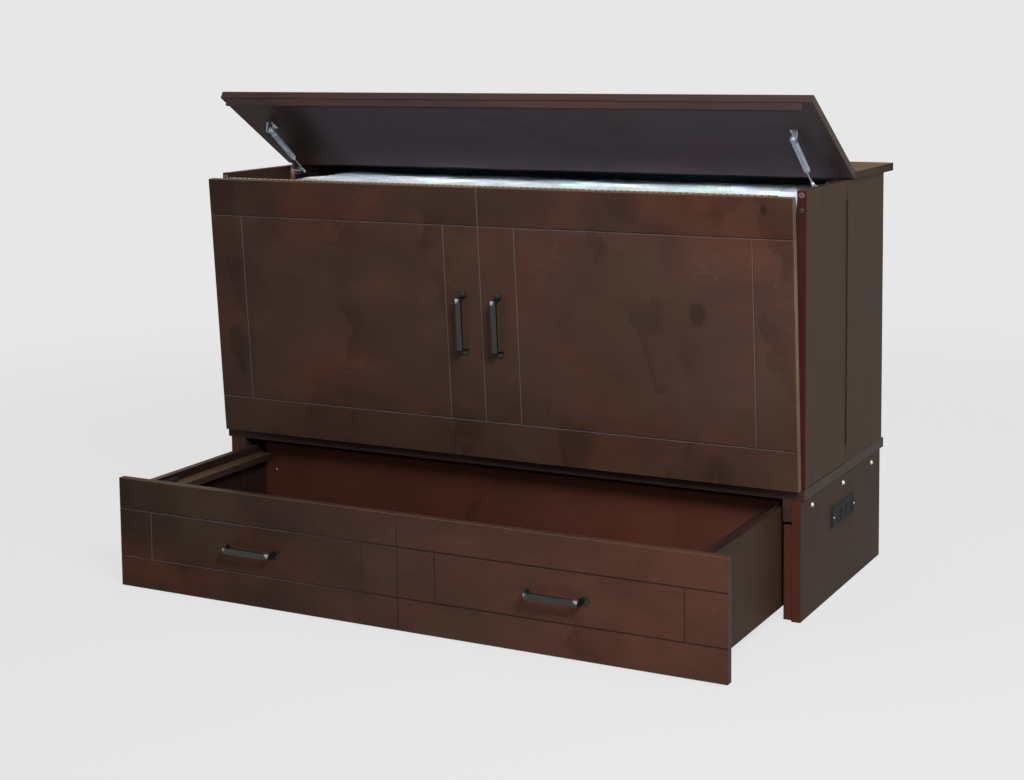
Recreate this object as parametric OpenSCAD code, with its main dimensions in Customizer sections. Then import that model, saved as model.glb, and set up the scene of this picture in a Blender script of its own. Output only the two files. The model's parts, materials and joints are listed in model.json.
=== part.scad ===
// Cabinet bed: a wooden chest that holds a folding mattress. The lid lifts on gas struts, the side wings
// swing out, the front panel folds down to carry the mattress, and a drawer rolls out below.
// Units are millimetres. +X is to the right, the front faces -Y, +Z is up, and the floor is z = 0.
// The origin lies on the floor, under the middle of the board that closes the back of the base. In the
// modules, y = 0 is the front of the base, and in_frame() carries each piece to the origin.

/* [Pose] */
// Lid angle above closed
lid_open = 32; // [5:0.1:60]
// Forward lean of the front panel from closed
panel_lean = 4.1; // [4:0.1:10]
// Distance the drawer is pulled out from closed
drawer_out = 442; // [150:1:460]

/* [Cabinet] */
// Outer width over the deck and the upper sides
cabinet_w = 1626; // [1600:1:1750]
// Depth of the base and the deck
base_d = 624; // [600:1:720]
// Height of the deck's top above the floor
deck_z = 313; // [300:1:340]
// Thickness of the deck
deck_t = 25; // [18:1:30]
// Height of the upper sides above the deck
side_h = 690; // [688:1:760]
// Thickness of the upper sides and wings
side_t = 23; // [18:0.5:25]
// Depth of the front wing, from its front edge to the seam
wing_d = 301; // [240:1:340]
// Set-back of the wing's front edge from the front of the deck
wing_setback = 4; // [2:0.5:12]
// Set-back of the upper rear sides from the rear of the base
rear_setback = 18; // [0:1:30]
// Thickness of the inner stile along each seam
stile_t = 17.5; // [15:0.5:26]
// Depth of the inner stile behind the seam
stile_d = 44; // [40:1:60]
// Lap of the inner stile over the closed wing
stile_lap = 23; // [12:1:30]
// Thickness of the back panel
back_t = 6; // [4:0.5:9]
// Distance from the back panel to the rear of the sides
back_setback = 12; // [6:1:16]

/* [Base] */
// Inset of the base sides from the ends of the deck
base_inset = 9; // [0:0.5:16]
// Thickness of the base sides
base_side_t = 22.5; // [18:0.5:26]
// Thickness of the liner boards inside the base sides
liner_t = 19; // [15:0.5:22]
// Gap under the liner boards
liner_lift = 4; // [2:0.5:8]
// Width of the rails under the deck
rail_w = 22; // [20:0.5:24]
// Height of the rails under the deck
rail_h = 53; // [40:1:60]
// Height of the slot between liner and rail
slot_h = 7; // [6:0.5:12]
// Thickness of the board across the back of the base
base_back_t = 19; // [15:0.5:22]
// Diameter of the bolt heads on the base sides
bolt_head_d = 12; // [9:0.5:16]
// Height of the bolt heads
bolt_head_h = 3.5; // [1.5:0.1:4]
// Diameter of the bolt shanks
bolt_d = 6; // [5:0.5:8]
// Distance from the front to the first bolt
bolt_first = 80; // [50:1:110]
// Distance from the last bolt to the rear of the base
bolt_rear = 76; // [60:1:110]

/* [Power outlet] */
// Width of the outlet plate along the side
outlet_w = 176; // [170:1:200]
// Height of the outlet plate
outlet_h = 54; // [50:1:70]
// Thickness of the outlet plate
outlet_t = 4; // [3:0.5:6]
// Distance from the front of the base to the middle of the plate
outlet_y = 312; // [200:1:400]
// Height of the middle of the plate
outlet_z = 193; // [120:1:200]
// Depth of the outlet box behind the plate
outlet_box_d = 36; // [20:1:38]

/* [Top] */
// Overhang of the fixed top and the lid past each end of the deck
top_side = 9; // [0:0.5:30]
// Thickness of the fixed top and the lid
top_t = 20; // [16:0.5:25]
// Overhang of the fixed top behind the base
top_overhang = 36; // [20:1:70]
// Distance from the front of the base to the lid's hinge line
lid_hinge_y = 337; // [330:1:360]
// Depth of the lip under the lid's front edge
lip_d = 8; // [7:0.5:14]
// Height of the lip
lip_h = 20; // [16:0.5:24]
// Distance from the lip to the lid's front edge
lip_nosing = 2; // [1.5:0.5:6]
// Inset of the lip from the ends of the lid
lip_inset = 22; // [10:1:40]

/* [Front panel] */
// Set-back of the front panel and the drawer front from each end of the deck
panel_reveal = 7.5; // [1:0.5:14]
// Distance from the top of the sides down to the closed front panel
panel_drop = 9; // [6:0.5:30]
// Thickness of the front panel
panel_t = 20; // [18:0.5:22]
// Width of the frame-like border outside the long grooves
panel_rail = 95; // [80:1:120]
// Distance from the panel's ends to the outer upright grooves
panel_stile = 98; // [70:1:130]
// Distance from the middle to the inner upright grooves
panel_mullion = 99; // [70:1:130]
// Width of a groove
groove_w = 4; // [2:0.2:6]
// Side play between the stiles and the foot panel that folds behind the front panel
foot_play = 12.5; // [6:0.5:70]
// Height of the front panel that the foot panel leaves free
foot_drop = 41; // [21:1:121]
// Thickness of the foot panel
foot_t = 12; // [9:0.5:13]
// Width and depth of the foot legs' square tube
leg_w = 22; // [18:1:24]
// Length of a foot leg
leg_l = 292; // [240:1:310]
// Distance from the foot panel's ends to the foot legs
leg_inset = 140; // [60:1:360]

/* [Drawer] */
// Height of the drawer front
drawer_h = 273; // [260:1:280]
// Thickness of the drawer front
drawer_front_t = 20.5; // [18:0.5:24]
// Gap under the drawer front
drawer_lift = 4; // [3:0.5:8]
// Width of the border outside the drawer front's long grooves
drawer_rail = 77; // [60:1:90]
// Depth of the drawer box behind the front
box_d = 522; // [500:1:540]
// Side play between the drawer box and the rails
box_play = 4.5; // [2:0.5:8]
// Height of the drawer sides above the floor, at the bottom edge
box_z = 29; // [20:1:40]
// Height of the drawer sides
box_h = 236.5; // [210:0.5:245]
// Thickness of the drawer sides and back
box_t = 19; // [12:0.5:20]
// Thickness of the drawer bottom
bottom_t = 9; // [6:0.5:12]
// Width of the ledge along each drawer side
ledge_w = 38; // [20:1:50]
// Thickness of the ledge
ledge_t = 18; // [12:1:24]
// Length of the guides at the rear of the drawer
guide_l = 56; // [30:1:90]
// Drop of the ledge below the top of the side
ledge_drop = 20; // [12:1:30]
// Distance from the end of the ledge to the drawer back
ledge_short = 24; // [0:1:60]

/* [Casters] */
// Diameter of a caster wheel
wheel_d = 40; // [34:1:44]
// Width of a caster wheel
wheel_w = 18; // [12:1:24]
// Diameter of a caster axle
axle_d = 6; // [5:0.5:8]
// Distance from the drawer's sides to the casters
caster_inset = 96; // [46:1:236]
// Distance from the drawer's ends to the caster axles
caster_y = 62; // [40:1:90]

/* [Handles] */
// Length of a handle over its feet
handle_l = 161; // [140:1:200]
// Width of a handle's strip
handle_w = 14; // [10:0.5:18]
// Reach of a handle in front of the panel
handle_out = 32; // [26:0.5:34]
// Thickness of a handle's bar
handle_bar_t = 7; // [5:0.5:9]
// Length of a handle's foot
handle_foot = 15; // [12:0.5:20]
// Distance from the middle to the front panel's handles
panel_handle_x = 49; // [30:1:70]
// Height of the handles above the panel's lower edge
panel_handle_z = 342; // [300:1:380]
// Distance from the middle to the drawer's handles
drawer_handle_x = 405; // [300:1:500]

/* [Gas struts] */
// Distance from the stiles to the middle of the struts
strut_inset = 34.5; // [27.5:0.5:72.5]
// Distance from the lid's hinge to the strut's upper pin, along the lid
strut_head_l = 226; // [200:1:240]
// Drop of the upper pin below the underside of the lid
strut_head_drop = 18; // [14:0.5:24]
// Distance from the lid's hinge line forward to the strut's lower stud
strut_foot_y = 59; // [50:1:64]
// Drop of the lower stud below the top of the sides
strut_foot_drop = 13; // [9:0.5:16]
// Outer diameter of the strut's tube
tube_d = 15; // [12:0.5:18]
// Length of the strut's tube
tube_l = 118; // [100:1:125]
// Diameter of the strut's rod
rod_d = 6; // [5:0.5:8]
// Length of the strut's rod, from its piston to the lower eye's centre
rod_l = 135; // [120:1:140]
// Diameter of the strut's upper socket
socket_d = 17; // [14:0.5:18]
// Diameter of the strut's lower eye
eye_d = 12; // [11:0.5:15]
// Diameter of the struts' pins
pin_d = 6; // [4:0.5:7]
// Thickness of the strut brackets' plates
bracket_t = 3; // [2:0.5:4]

/* [Long hinges] */
// Radius of a hinge barrel
barrel_r = 2.2; // [1.8:0.1:2.6]
// Radius of a hinge pin
hinge_pin_r = 1.2; // [0.8:0.1:1.4]
// Thickness of a hinge leaf
leaf_t = 1.1; // [0.8:0.1:1.4]
// Width of a hinge leaf from the pin
leaf_w = 15; // [12:0.5:18]
// Length of one knuckle with its gap
knuckle = 50; // [40:1:80]
// Distance from the foot panel's ends to the ends of the long hinges
hinge_inset = 10; // [5:1:110]
// Distance from the ends of the wing hinges to the ends of the sides
wing_hinge_inset = 25; // [15:1:95]

/* [Mattress] */
// Side play between the mattress and the upper sides
mattress_play = 28; // [24:1:90]
// Distance from the top of the sides down to the mattress
mattress_drop = 35; // [25:1:90]
// Play between the folded mattress and the back panel
mattress_slack = 27; // [12:1:90]
// Distance from the front of the base to the first section
mattress_y = 48; // [44:1:54]

/* [Hidden] */

$fn = 48;
// Overlap that joins shapes or clears a cut
eps = 0.01;
// Half of the gap between two hinged edges
hinge_gap = 0.4;
// Bevel on the edges that meet at a hinge barrel
barrel_bevel = barrel_r + 1.4;
// Gap between neighbouring knuckles
knuckle_gap = 0.5;
// Running clearance of a pin in its bore
running = 0.05;
// Gap between parts that stay apart
apart = 0.5;
// Eased edge on the boards
ease = 1;

// Sides and base, as half widths and heights
side_out = cabinet_w / 2;
side_in = side_out - side_t;
side_z = deck_z + side_h;
base_out = side_out - base_inset;
base_in = base_out - base_side_t;
liner_in = base_in - liner_t;
rail_in = base_in - rail_w;
deck_under = deck_z - deck_t;
rail_under = deck_under - rail_h;
liner_top = rail_under - slot_h;
seam_y = wing_setback + wing_d;
wing_gap = 0.8;
stile_in = side_in - stile_t;
side_rear_y = base_d - rear_setback;
back_y = side_rear_y - back_setback - back_t;
origin_y = base_d - base_back_t / 2;
bolt_pitch = (base_d - bolt_first - bolt_rear) / 2;

// Sizes that follow the cabinet
top_w = cabinet_w + 2 * top_side;
panel_w = cabinet_w - 2 * panel_reveal;
drawer_w = panel_w;
foot_w = 2 * (stile_in - foot_play);
leg_x = foot_w / 2 - leg_inset;
long_hinge_l = foot_w - 2 * hinge_inset;
wing_hinge_l = side_h - 2 * wing_hinge_inset;
panel_h = side_h - panel_drop;
foot_h = panel_h - foot_drop;

// Mattress sections: three stand one behind the other, a little apart
section_gap = 1.5;
mattress_w = 2 * (side_in - mattress_play);
mattress_h = side_h - mattress_drop;
mattress_t = (back_y - mattress_slack - mattress_y - 2 * section_gap) / 3;

// Hinge lines
panel_pivot = [0, -hinge_gap, deck_z];
lid_pivot = [0, lid_hinge_y, side_z + top_t];
wing_pivot_x = side_out + hinge_gap;
wing_pivot_y = seam_y - wing_gap / 2;

// Lid: the lip hangs just in front of the closed front panel
lip_clear = 1;
lip_back_y = -hinge_gap - panel_t - lip_clear;
lid_front_y = lip_back_y - lip_d - lip_nosing;
lid_l = lid_hinge_y - lid_front_y - hinge_gap;
lid_t = top_t - apart;

// Drawer, with its closed front just clear of the base
drawer_gap = 1;
drawer_y = -drawer_gap - drawer_out;
box_out = rail_in - box_play;
box_rear_y = drawer_y + box_d;
box_in = box_out - box_t;
bottom_z = 60;
caster_x = box_in - caster_inset;
wheel_r = wheel_d / 2;
caster_fork_t = 3;
caster_plate_t = 3;

// Strut: upper pin and lower stud in the Y-Z plane, seen at the pose above
strut_x = stile_in - strut_inset;
strut_u = [
    lid_hinge_y - strut_head_l * cos(lid_open) - (lid_t + strut_head_drop) * sin(lid_open),
    lid_pivot[2] + strut_head_l * sin(lid_open) - (lid_t + strut_head_drop) * cos(lid_open)
];
strut_v = [lid_hinge_y - strut_foot_y, side_z - strut_foot_drop];
strut_foot_reach = max(0, seam_y - stile_lap - strut_v[0]);
strut_len = norm(strut_u - strut_v);
strut_angle = atan2(strut_v[1] - strut_u[1], strut_v[0] - strut_u[0]);
// Distance from the upper pin to the tube, and the length of the gland that closes the tube
strut_neck = 14;
gland_l = 12;
// Depth of the pin's hole past the middle of the socket
socket_depth = 5;
chamber_r = tube_d / 2 - 1.3;
piston_r = chamber_r - 0.1;
piston_l = 8;
// Length of the lower bracket's plate, from the stud back over the stile
foot_plate_hold = 26;
foot_plate_l = strut_foot_reach + foot_plate_hold;

// ---------- helpers ----------

// A board with eased edges, from corner a to corner b
module board(a, b, e = ease) {
    s = b - a;
    translate(a) intersection() {
        linear_extrude(s[2]) eased(s[0], s[1], e);
        translate([0, s[1], 0]) rotate([90, 0, 0]) linear_extrude(s[1]) eased(s[0], s[2], e);
        rotate([90, 0, 90]) linear_extrude(s[0]) eased(s[1], s[2], e);
    }
}

// A rectangle with its corners cut by e
module eased(w, h, e) {
    polygon([[e, 0], [w - e, 0], [w, e], [w, h - e], [w - e, h], [e, h], [0, h - e], [0, e]]);
}

// A plain box from corner a to corner b
module box(a, b) {
    translate(a) cube(b - a);
}

// A cylinder along X from x0 to x1
module rod_x(x0, x1, r) {
    translate([x0, 0, 0]) rotate([0, 90, 0]) cylinder(r = r, h = x1 - x0);
}

// One leaf of a long hinge. The pin lies along X through the origin, the plate hangs down (-Z) on the
// side of the pin that "side" names, and "odd" picks which knuckles belong to this leaf.
module hinge_leaf(len, side, odd, with_pin) {
    count = floor(len / knuckle);
    span = count * knuckle;
    y0 = side > 0 ? 0.1 : -0.1 - leaf_t;
    difference() {
        union() {
            box([-span / 2, y0, -leaf_w], [span / 2, y0 + leaf_t, -barrel_r - knuckle_gap]);
            for (i = [0 : count - 1]) if (i % 2 == odd) {
                x0 = -span / 2 + i * knuckle + knuckle_gap / 2;
                rod_x(x0, x0 + knuckle - knuckle_gap, barrel_r);
                box([x0, y0, -leaf_w / 2], [x0 + knuckle - knuckle_gap, y0 + leaf_t, 0]);
            }
        }
        if (!with_pin) rod_x(-span / 2 - 1, span / 2 + 1, hinge_pin_r + running);
    }
    if (with_pin) rod_x(-span / 2 + knuckle_gap, span / 2 - knuckle_gap, hinge_pin_r);
}

// The room that one leaf's plate takes in a board's face
module leaf_pocket(len, side) {
    span = floor(len / knuckle) * knuckle;
    y0 = side > 0 ? -1 : -0.1 - leaf_t;
    y1 = side > 0 ? 0.1 + leaf_t : 1;
    box([-span / 2 - apart, y0, -leaf_w - apart], [span / 2 + apart, y1, 1]);
}

// The room that a barrel takes along the corner where two boards meet
module barrel_cut(len) {
    b = barrel_bevel * sqrt(2);
    rotate([45, 0, 0]) cube([len + 2, b, b], center = true);
}

// Carries a piece from the front of the base to the origin
module in_frame() {
    translate([0, -origin_y, 0]) children();
}

// Places children in the front panel's own frame: pin at the origin, back face on y = 0
module at_panel() {
    translate(panel_pivot) rotate([panel_lean, 0, 0]) children();
}

// Places children in the lid's frame: pin at the origin, closed lid towards -Y
module at_lid() {
    translate(lid_pivot) rotate([-lid_open, 0, 0]) children();
}

// Places children at the foot hinge, along the front panel's upper edge
module at_foot_hinge() {
    at_panel() translate([0, hinge_gap / 2, panel_h + 2 * hinge_gap]) children();
}

// Places children at a wing's hinge, with the pin along X and the plates towards the middle
module at_wing_hinge(side) {
    translate([side * wing_pivot_x, wing_pivot_y, deck_z + side_h / 2])
        rotate([0, side * 90, 0]) children();
}

// Straight V-grooves on a face at y = 0 that looks towards -Y
module groove_across(x0, x1, z) {
    translate([x0, 0, z]) rotate([45, 0, 0]) cube_bar(x1 - x0);
}

// The upright grooves are a little shallower, so they end inside the long ones
module groove_up(x, z0, z1) {
    shallower = groove_w / 16;
    translate([x, -shallower, z0]) rotate([0, -90, 0]) rotate([45, 0, 0]) cube_bar(z1 - z0);
}

// A square bar along X whose diagonal is the groove's width
module cube_bar(len) {
    s = groove_w / sqrt(2);
    translate([0, -s / 2, -s / 2]) cube([len, s, s]);
}

// The grooves of a front w wide and h high that imitate two framed doors, whose seam starts at seam_z
module door_grooves(w, h, rail, seam_z) {
    for (z = [rail, h - rail]) groove_across(-w / 2 - 1, w / 2 + 1, z);
    for (x = [-w / 2 + panel_stile, -panel_mullion, panel_mullion, w / 2 - panel_stile])
        groove_up(x, rail, h - rail);
    groove_up(0, seam_z, h + 1);
}

// A bent-strip handle along Z, standing on the face y = 0 and reaching towards -Y
module handle_strip() {
    half = handle_l / 2;
    foot_t = 4;
    leg_t = 5;
    knee = handle_foot - leg_t / 2;
    bar_y = handle_out - handle_bar_t;
    translate([-handle_w / 2, 0, 0]) rotate([90, 0, 90]) linear_extrude(handle_w) {
        for (s = [-1, 1]) scale([1, s]) {
            translate([-foot_t, half - handle_foot]) square([foot_t, handle_foot - foot_t / 2]);
            translate([-foot_t / 2, half - foot_t / 2]) circle(d = foot_t);
            polygon([
                [0, half - knee - leg_t / 2], [0, half - knee + leg_t / 2],
                [-foot_t, half - knee + leg_t / 2],
                [-bar_y - handle_bar_t / 2, half - knee - leg_t / 2],
                [-bar_y - handle_bar_t / 2, half - knee - leg_t * 1.6]
            ]);
        }
        translate([-handle_out, -half + knee + leg_t])
            square([handle_bar_t, handle_l - 2 * knee - 2 * leg_t]);
        for (s = [-1, 1])
            translate([-handle_out + handle_bar_t / 2, s * (half - knee - leg_t)]) circle(d = handle_bar_t);
    }
}

// ---------- base ----------

module bolt_places() {
    for (i = [0 : 2]) translate([0, bolt_first + i * bolt_pitch, deck_under - rail_h / 2]) children();
}

module base_side(side) {
    difference() {
        if (side > 0) board([base_in, 0, 0], [base_out, base_d, deck_under]);
        else board([-base_out, 0, 0], [-base_in, base_d, deck_under]);
        bolt_places() rod_x(side > 0 ? base_in - 1 : -base_out - 1, side > 0 ? base_out + 1 : 1 - base_in,
            bolt_d / 2 + apart / 2);
    }
}

// The hole in the side and the liner, hidden behind the plate's rim
module outlet_cut() {
    rim_y = 12;
    rim_z = 8;
    w = outlet_w / 2 - rim_y;
    h = outlet_h / 2 - rim_z;
    box([liner_in - 1, outlet_y - w, outlet_z - h], [base_out + 1, outlet_y + w, outlet_z + h]);
}

module base_side_left() {
    color([0.24, 0.17, 0.14]) in_frame() base_side(-1);
}

module base_side_right() {
    color([0.24, 0.17, 0.14]) in_frame() difference() {
        base_side(1);
        outlet_cut();
    }
}

module base_liners() {
    color([0.30, 0.15, 0.11]) in_frame() {
        board([-base_in, 0, liner_lift], [-liner_in, base_d - base_back_t, liner_top]);
        difference() {
            board([liner_in, 0, liner_lift], [base_in, base_d - base_back_t, liner_top]);
            outlet_cut();
        }
    }
}

module deck_rails() {
    color([0.22, 0.14, 0.13]) in_frame() difference() {
        for (s = [0, 1]) mirror([s, 0, 0])
            board([rail_in, 0, rail_under], [base_in, base_d - base_back_t, deck_under]);
        bolt_places() rod_x(-side_out, side_out, bolt_d / 2 + apart / 2);
    }
}

module base_back() {
    color([0.22, 0.14, 0.13]) in_frame()
        board([-base_in, base_d - base_back_t, 0], [base_in, base_d, deck_under]);
}

module base_bolts() {
    color([0.78, 0.79, 0.80]) in_frame() bolt_places() for (s = [-1, 1]) rotate([0, 0, s > 0 ? 0 : 180]) {
        rod_x(base_in - rail_w + 3, base_out, bolt_d / 2);
        translate([base_out, 0, 0]) rotate([0, 90, 0])
            cylinder(d1 = bolt_head_d, d2 = bolt_head_d * 0.66, h = bolt_head_h);
    }
}

// ---------- power outlet ----------

module outlet_plate() {
    bevel = outlet_t;
    w = outlet_w / 2;
    h = outlet_h / 2;
    color([0.10, 0.11, 0.11]) in_frame() at_outlet() difference() {
        intersection() {
            translate([0, w, 0]) rotate([90, 0, 0]) linear_extrude(2 * w)
                polygon([[0, -h], [outlet_t, -h + bevel], [outlet_t, h - bevel], [0, h]]);
            translate([0, 0, -h]) linear_extrude(2 * h)
                polygon([[0, -w], [outlet_t, -w + bevel], [outlet_t, w - bevel], [0, w]]);
        }
        for (y = outlet_windows) box([-1, y[0], -window_h / 2], [outlet_t + 1, y[1], window_h / 2]);
        for (s = [-1, 1]) translate([0, s * outlet_screw_y, 0]) rod_x(-1, outlet_t + 1, outlet_hole_r);
    }
}

// The three windows of the outlet plate, along Y from its middle: two sockets and a charging port
outlet_windows = [[-52, -18], [-14, 20], [42, 70]];
window_h = 34;
outlet_screw_y = outlet_w / 2 - 10;
outlet_hole_r = 1.8;

// Places children on the outside of the base's side, with the outlet's middle at the origin
module at_outlet() {
    translate([base_out, outlet_y, outlet_z]) children();
}

// The faces in the windows and the box behind them, with blades' slots, earth holes and charging ports
module outlet_sockets() {
    face = outlet_t - 1;
    play = 0.3;
    bore = 8;
    blade = [9, 2];
    blade_y = 1.5;
    blade_z = 6.4;
    earth_y = -10;
    earth_r = 2;
    port = [12, 4];
    port_z = 6;
    box_half = [outlet_w / 2 - 14, outlet_h / 2 - 10];
    color([0.07, 0.08, 0.08]) in_frame() at_outlet() difference() {
        union() {
            for (y = outlet_windows)
                box([0, y[0] + play, play - window_h / 2], [face, y[1] - play, window_h / 2 - play]);
            box([-outlet_box_d, -box_half[0], -box_half[1]], [0, box_half[0], box_half[1]]);
        }
        for (i = [0, 1]) translate([0, window_y(i), 0]) {
            for (z = [-blade_z, blade_z]) translate([0, blade_y, z]) slot(face, bore, blade);
            translate([face - bore, earth_y, 0]) rod_x(0, bore + 1, earth_r);
        }
        for (z = [-port_z, port_z]) translate([0, window_y(2), z]) slot(face, bore, port);
    }
}

// The middle of a window along Y
function window_y(i) = (outlet_windows[i][0] + outlet_windows[i][1]) / 2;

// A slot cut deep into a face at x = face
module slot(face, deep, size) {
    box([face - deep, -size[0] / 2, -size[1] / 2], [face + 1, size[0] / 2, size[1] / 2]);
}

module outlet_screws() {
    shank_r = 1.5;
    head = [6, 4, 1.2];
    color([0.75, 0.76, 0.77]) in_frame() at_outlet() for (s = [-1, 1])
        translate([0, s * outlet_screw_y, 0]) {
            rod_x(0, outlet_t + eps, shank_r);
            translate([outlet_t, 0, 0]) rotate([0, 90, 0]) cylinder(d1 = head[0], d2 = head[1], h = head[2]);
        }
}

// ---------- deck and cabinet sides ----------

module deck() {
    color([0.25, 0.16, 0.13]) in_frame() difference() {
        board([-side_out, 0, deck_under], [side_out, base_d, deck_z]);
        translate(panel_pivot) barrel_cut(long_hinge_l);
        translate(panel_pivot) rotate([90, 0, 0]) leaf_pocket(long_hinge_l, -1);
    }
}

module deck_hinge_leaf() {
    color([0.55, 0.50, 0.42]) in_frame() translate(panel_pivot) rotate([90, 0, 0])
        hinge_leaf(long_hinge_l, -1, 0, true);
}

module rear_side(side) {
    difference() {
        board([side > 0 ? side_in : -side_out, seam_y, deck_z],
            [side > 0 ? side_out : -side_in, side_rear_y, side_z]);
        at_wing_hinge(side) {
            barrel_cut(wing_hinge_l);
            leaf_pocket(wing_hinge_l, 1);
        }
    }
}

module rear_side_left() {
    color([0.24, 0.18, 0.14]) in_frame() rear_side(-1);
}

module rear_side_right() {
    color([0.24, 0.18, 0.14]) in_frame() rear_side(1);
}

module stiles() {
    color([0.38, 0.22, 0.18]) in_frame() for (s = [0, 1]) mirror([s, 0, 0])
        translate([0, 0, deck_z]) linear_extrude(side_h) polygon([
            [stile_in + ease, seam_y - stile_lap], [side_in - apart - ease, seam_y - stile_lap],
            [side_in - apart, seam_y - stile_lap + ease], [side_in - apart, seam_y], [side_in, seam_y],
            [side_in, seam_y + stile_d], [stile_in, seam_y + stile_d], [stile_in, seam_y - stile_lap + ease]
        ]);
}

module side_hinge_leaf_left() {
    color([0.45, 0.42, 0.38]) in_frame() at_wing_hinge(-1) hinge_leaf(wing_hinge_l, 1, 0, true);
}

module side_hinge_leaf_right() {
    color([0.45, 0.42, 0.38]) in_frame() at_wing_hinge(1) hinge_leaf(wing_hinge_l, 1, 0, true);
}

module back_panel() {
    color([0.20, 0.13, 0.11]) in_frame()
        box([-side_in, back_y, deck_z], [side_in, back_y + back_t, side_z]);
}

module fixed_top() {
    color([0.42, 0.33, 0.26]) in_frame() difference() {
        board([-top_w / 2, lid_hinge_y + hinge_gap, side_z],
            [top_w / 2, base_d + top_overhang, side_z + top_t]);
        translate(lid_pivot) {
            barrel_cut(long_hinge_l);
            leaf_pocket(long_hinge_l, 1);
        }
    }
}

module top_hinge_leaf() {
    color([0.45, 0.42, 0.38]) in_frame() translate(lid_pivot) hinge_leaf(long_hinge_l, 1, 0, true);
}

// ---------- wings ----------

module wing(side) {
    x0 = side > 0 ? side_in : -side_out;
    difference() {
        board([x0, wing_setback, deck_z + 2], [x0 + side_t, seam_y - wing_gap, side_z - apart]);
        at_wing_hinge(side) {
            barrel_cut(wing_hinge_l);
            leaf_pocket(wing_hinge_l, -1);
        }
    }
}

module wing_left() {
    color([0.25, 0.18, 0.14]) in_frame() wing(-1);
}

module wing_right() {
    color([0.25, 0.18, 0.14]) in_frame() wing(1);
}

module wing_hinge_leaf_left() {
    color([0.45, 0.42, 0.38]) in_frame() at_wing_hinge(-1) hinge_leaf(wing_hinge_l, -1, 1, false);
}

module wing_hinge_leaf_right() {
    color([0.45, 0.42, 0.38]) in_frame() at_wing_hinge(1) hinge_leaf(wing_hinge_l, -1, 1, false);
}

// A ring magnet near the top of the wing's front edge and a rubber stud below it
module wing_catch(side) {
    catch_t = wing_setback - 1.4;
    ring_drop = 11;
    ring_d = 12;
    ring_hole_d = 8;
    stud_drop = 46;
    stud_d = 9;
    translate([side * (side_in + side_t / 2), wing_setback, 0]) {
        translate([0, 0, side_z - ring_drop]) rotate([90, 0, 0]) difference() {
            cylinder(d = ring_d, h = catch_t);
            translate([0, 0, catch_t - 1]) cylinder(d = ring_hole_d, h = 2);
        }
        translate([0, 0, side_z - stud_drop]) rotate([90, 0, 0]) cylinder(d = stud_d, h = catch_t);
    }
}

module wing_catch_left() {
    color([0.62, 0.45, 0.47]) in_frame() wing_catch(-1);
}

module wing_catch_right() {
    color([0.62, 0.45, 0.47]) in_frame() wing_catch(1);
}

// ---------- lid and struts ----------

module lid() {
    color([0.27, 0.17, 0.15]) in_frame() at_lid() difference() {
        board([-top_w / 2, -hinge_gap - lid_l, -lid_t], [top_w / 2, -hinge_gap, 0]);
        barrel_cut(long_hinge_l);
        leaf_pocket(long_hinge_l, -1);
    }
}

module lid_lip() {
    y0 = lip_back_y - lip_d - lid_hinge_y;
    color([0.30, 0.18, 0.15]) in_frame() at_lid()
        board([-top_w / 2 + lip_inset, y0, -lid_t - lip_h], [top_w / 2 - lip_inset, y0 + lip_d, -lid_t]);
}

module lid_hinge_leaf() {
    color([0.45, 0.42, 0.38]) in_frame() at_lid() hinge_leaf(long_hinge_l, -1, 1, false);
}

// The outline of a bracket ear: a round end about the pin, widening to the plate that carries it
module ear(reach, end_r, root) {
    circle(r = end_r);
    polygon([[-root / 2, reach], [-end_r, 0], [end_r, 0], [root / 2, reach]]);
}

// Lays a flat outline, drawn in Y and Z, between x0 and x1
module slab_x(x0, x1) {
    translate([x0, 0, 0]) rotate([90, 0, 90]) linear_extrude(x1 - x0) children();
}

// The upper brackets: a plate under the lid, an ear at its edge, and the pin that the socket turns on
module strut_heads() {
    plate_l = 34;
    plate_w = 20;
    ear_r = 7;
    ear_root = 26;
    screw = [6.5, 4.5, 1.8];
    screw_x = 4;
    screw_y = 10.5;
    ear_x = strut_x + socket_d / 2 + apart;
    edge_x = ear_x + bracket_t;
    color([0.72, 0.74, 0.76]) in_frame() at_lid() for (s = [0, 1]) mirror([s, 0, 0])
        translate([0, -strut_head_l, -lid_t]) {
            box([edge_x - plate_w, -plate_l / 2, -bracket_t], [edge_x, plate_l / 2, 0]);
            translate([0, 0, -strut_head_drop]) {
                slab_x(ear_x, edge_x) ear(strut_head_drop, ear_r, ear_root);
                rod_x(strut_x - socket_depth + apart, ear_x + eps, pin_d / 2);
            }
            for (k = [-1, 1]) translate([edge_x - plate_w / 2 - 2 + k * screw_x, k * screw_y, -bracket_t])
                mirror([0, 0, 1]) cylinder(d1 = screw[0], d2 = screw[1], h = screw[2]);
        }
}

// The lower brackets: a plate on the stile, a boss, and the stud that points at the rod's eye
module strut_feet() {
    stud_x = strut_x + eye_d / 2 + apart;
    plate_r = 11;
    boss_r = 5;
    plate_x = stile_in - bracket_t;
    screw = [7, 4.5, 1.8];
    screw_gap = 9;
    screw_end = 8;
    color([0.72, 0.74, 0.76]) in_frame() for (s = [0, 1]) mirror([s, 0, 0])
        translate([0, strut_v[0], strut_v[1]]) {
            rod_x(stud_x, plate_x, pin_d / 2);
            translate([stud_x + boss_r, 0, 0]) rotate([0, 90, 0])
                cylinder(r1 = pin_d / 2, r2 = boss_r, h = plate_x - stud_x - boss_r + eps);
            slab_x(plate_x, stile_in) {
                circle(r = plate_r);
                translate([0, -plate_r]) square([foot_plate_l, 2 * plate_r]);
            }
            for (z = [-screw_gap / 2, screw_gap / 2]) translate([plate_x, foot_plate_l - screw_end, z])
                rotate([0, -90, 0]) cylinder(d1 = screw[0], d2 = screw[1], h = screw[2]);
        }
}

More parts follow.
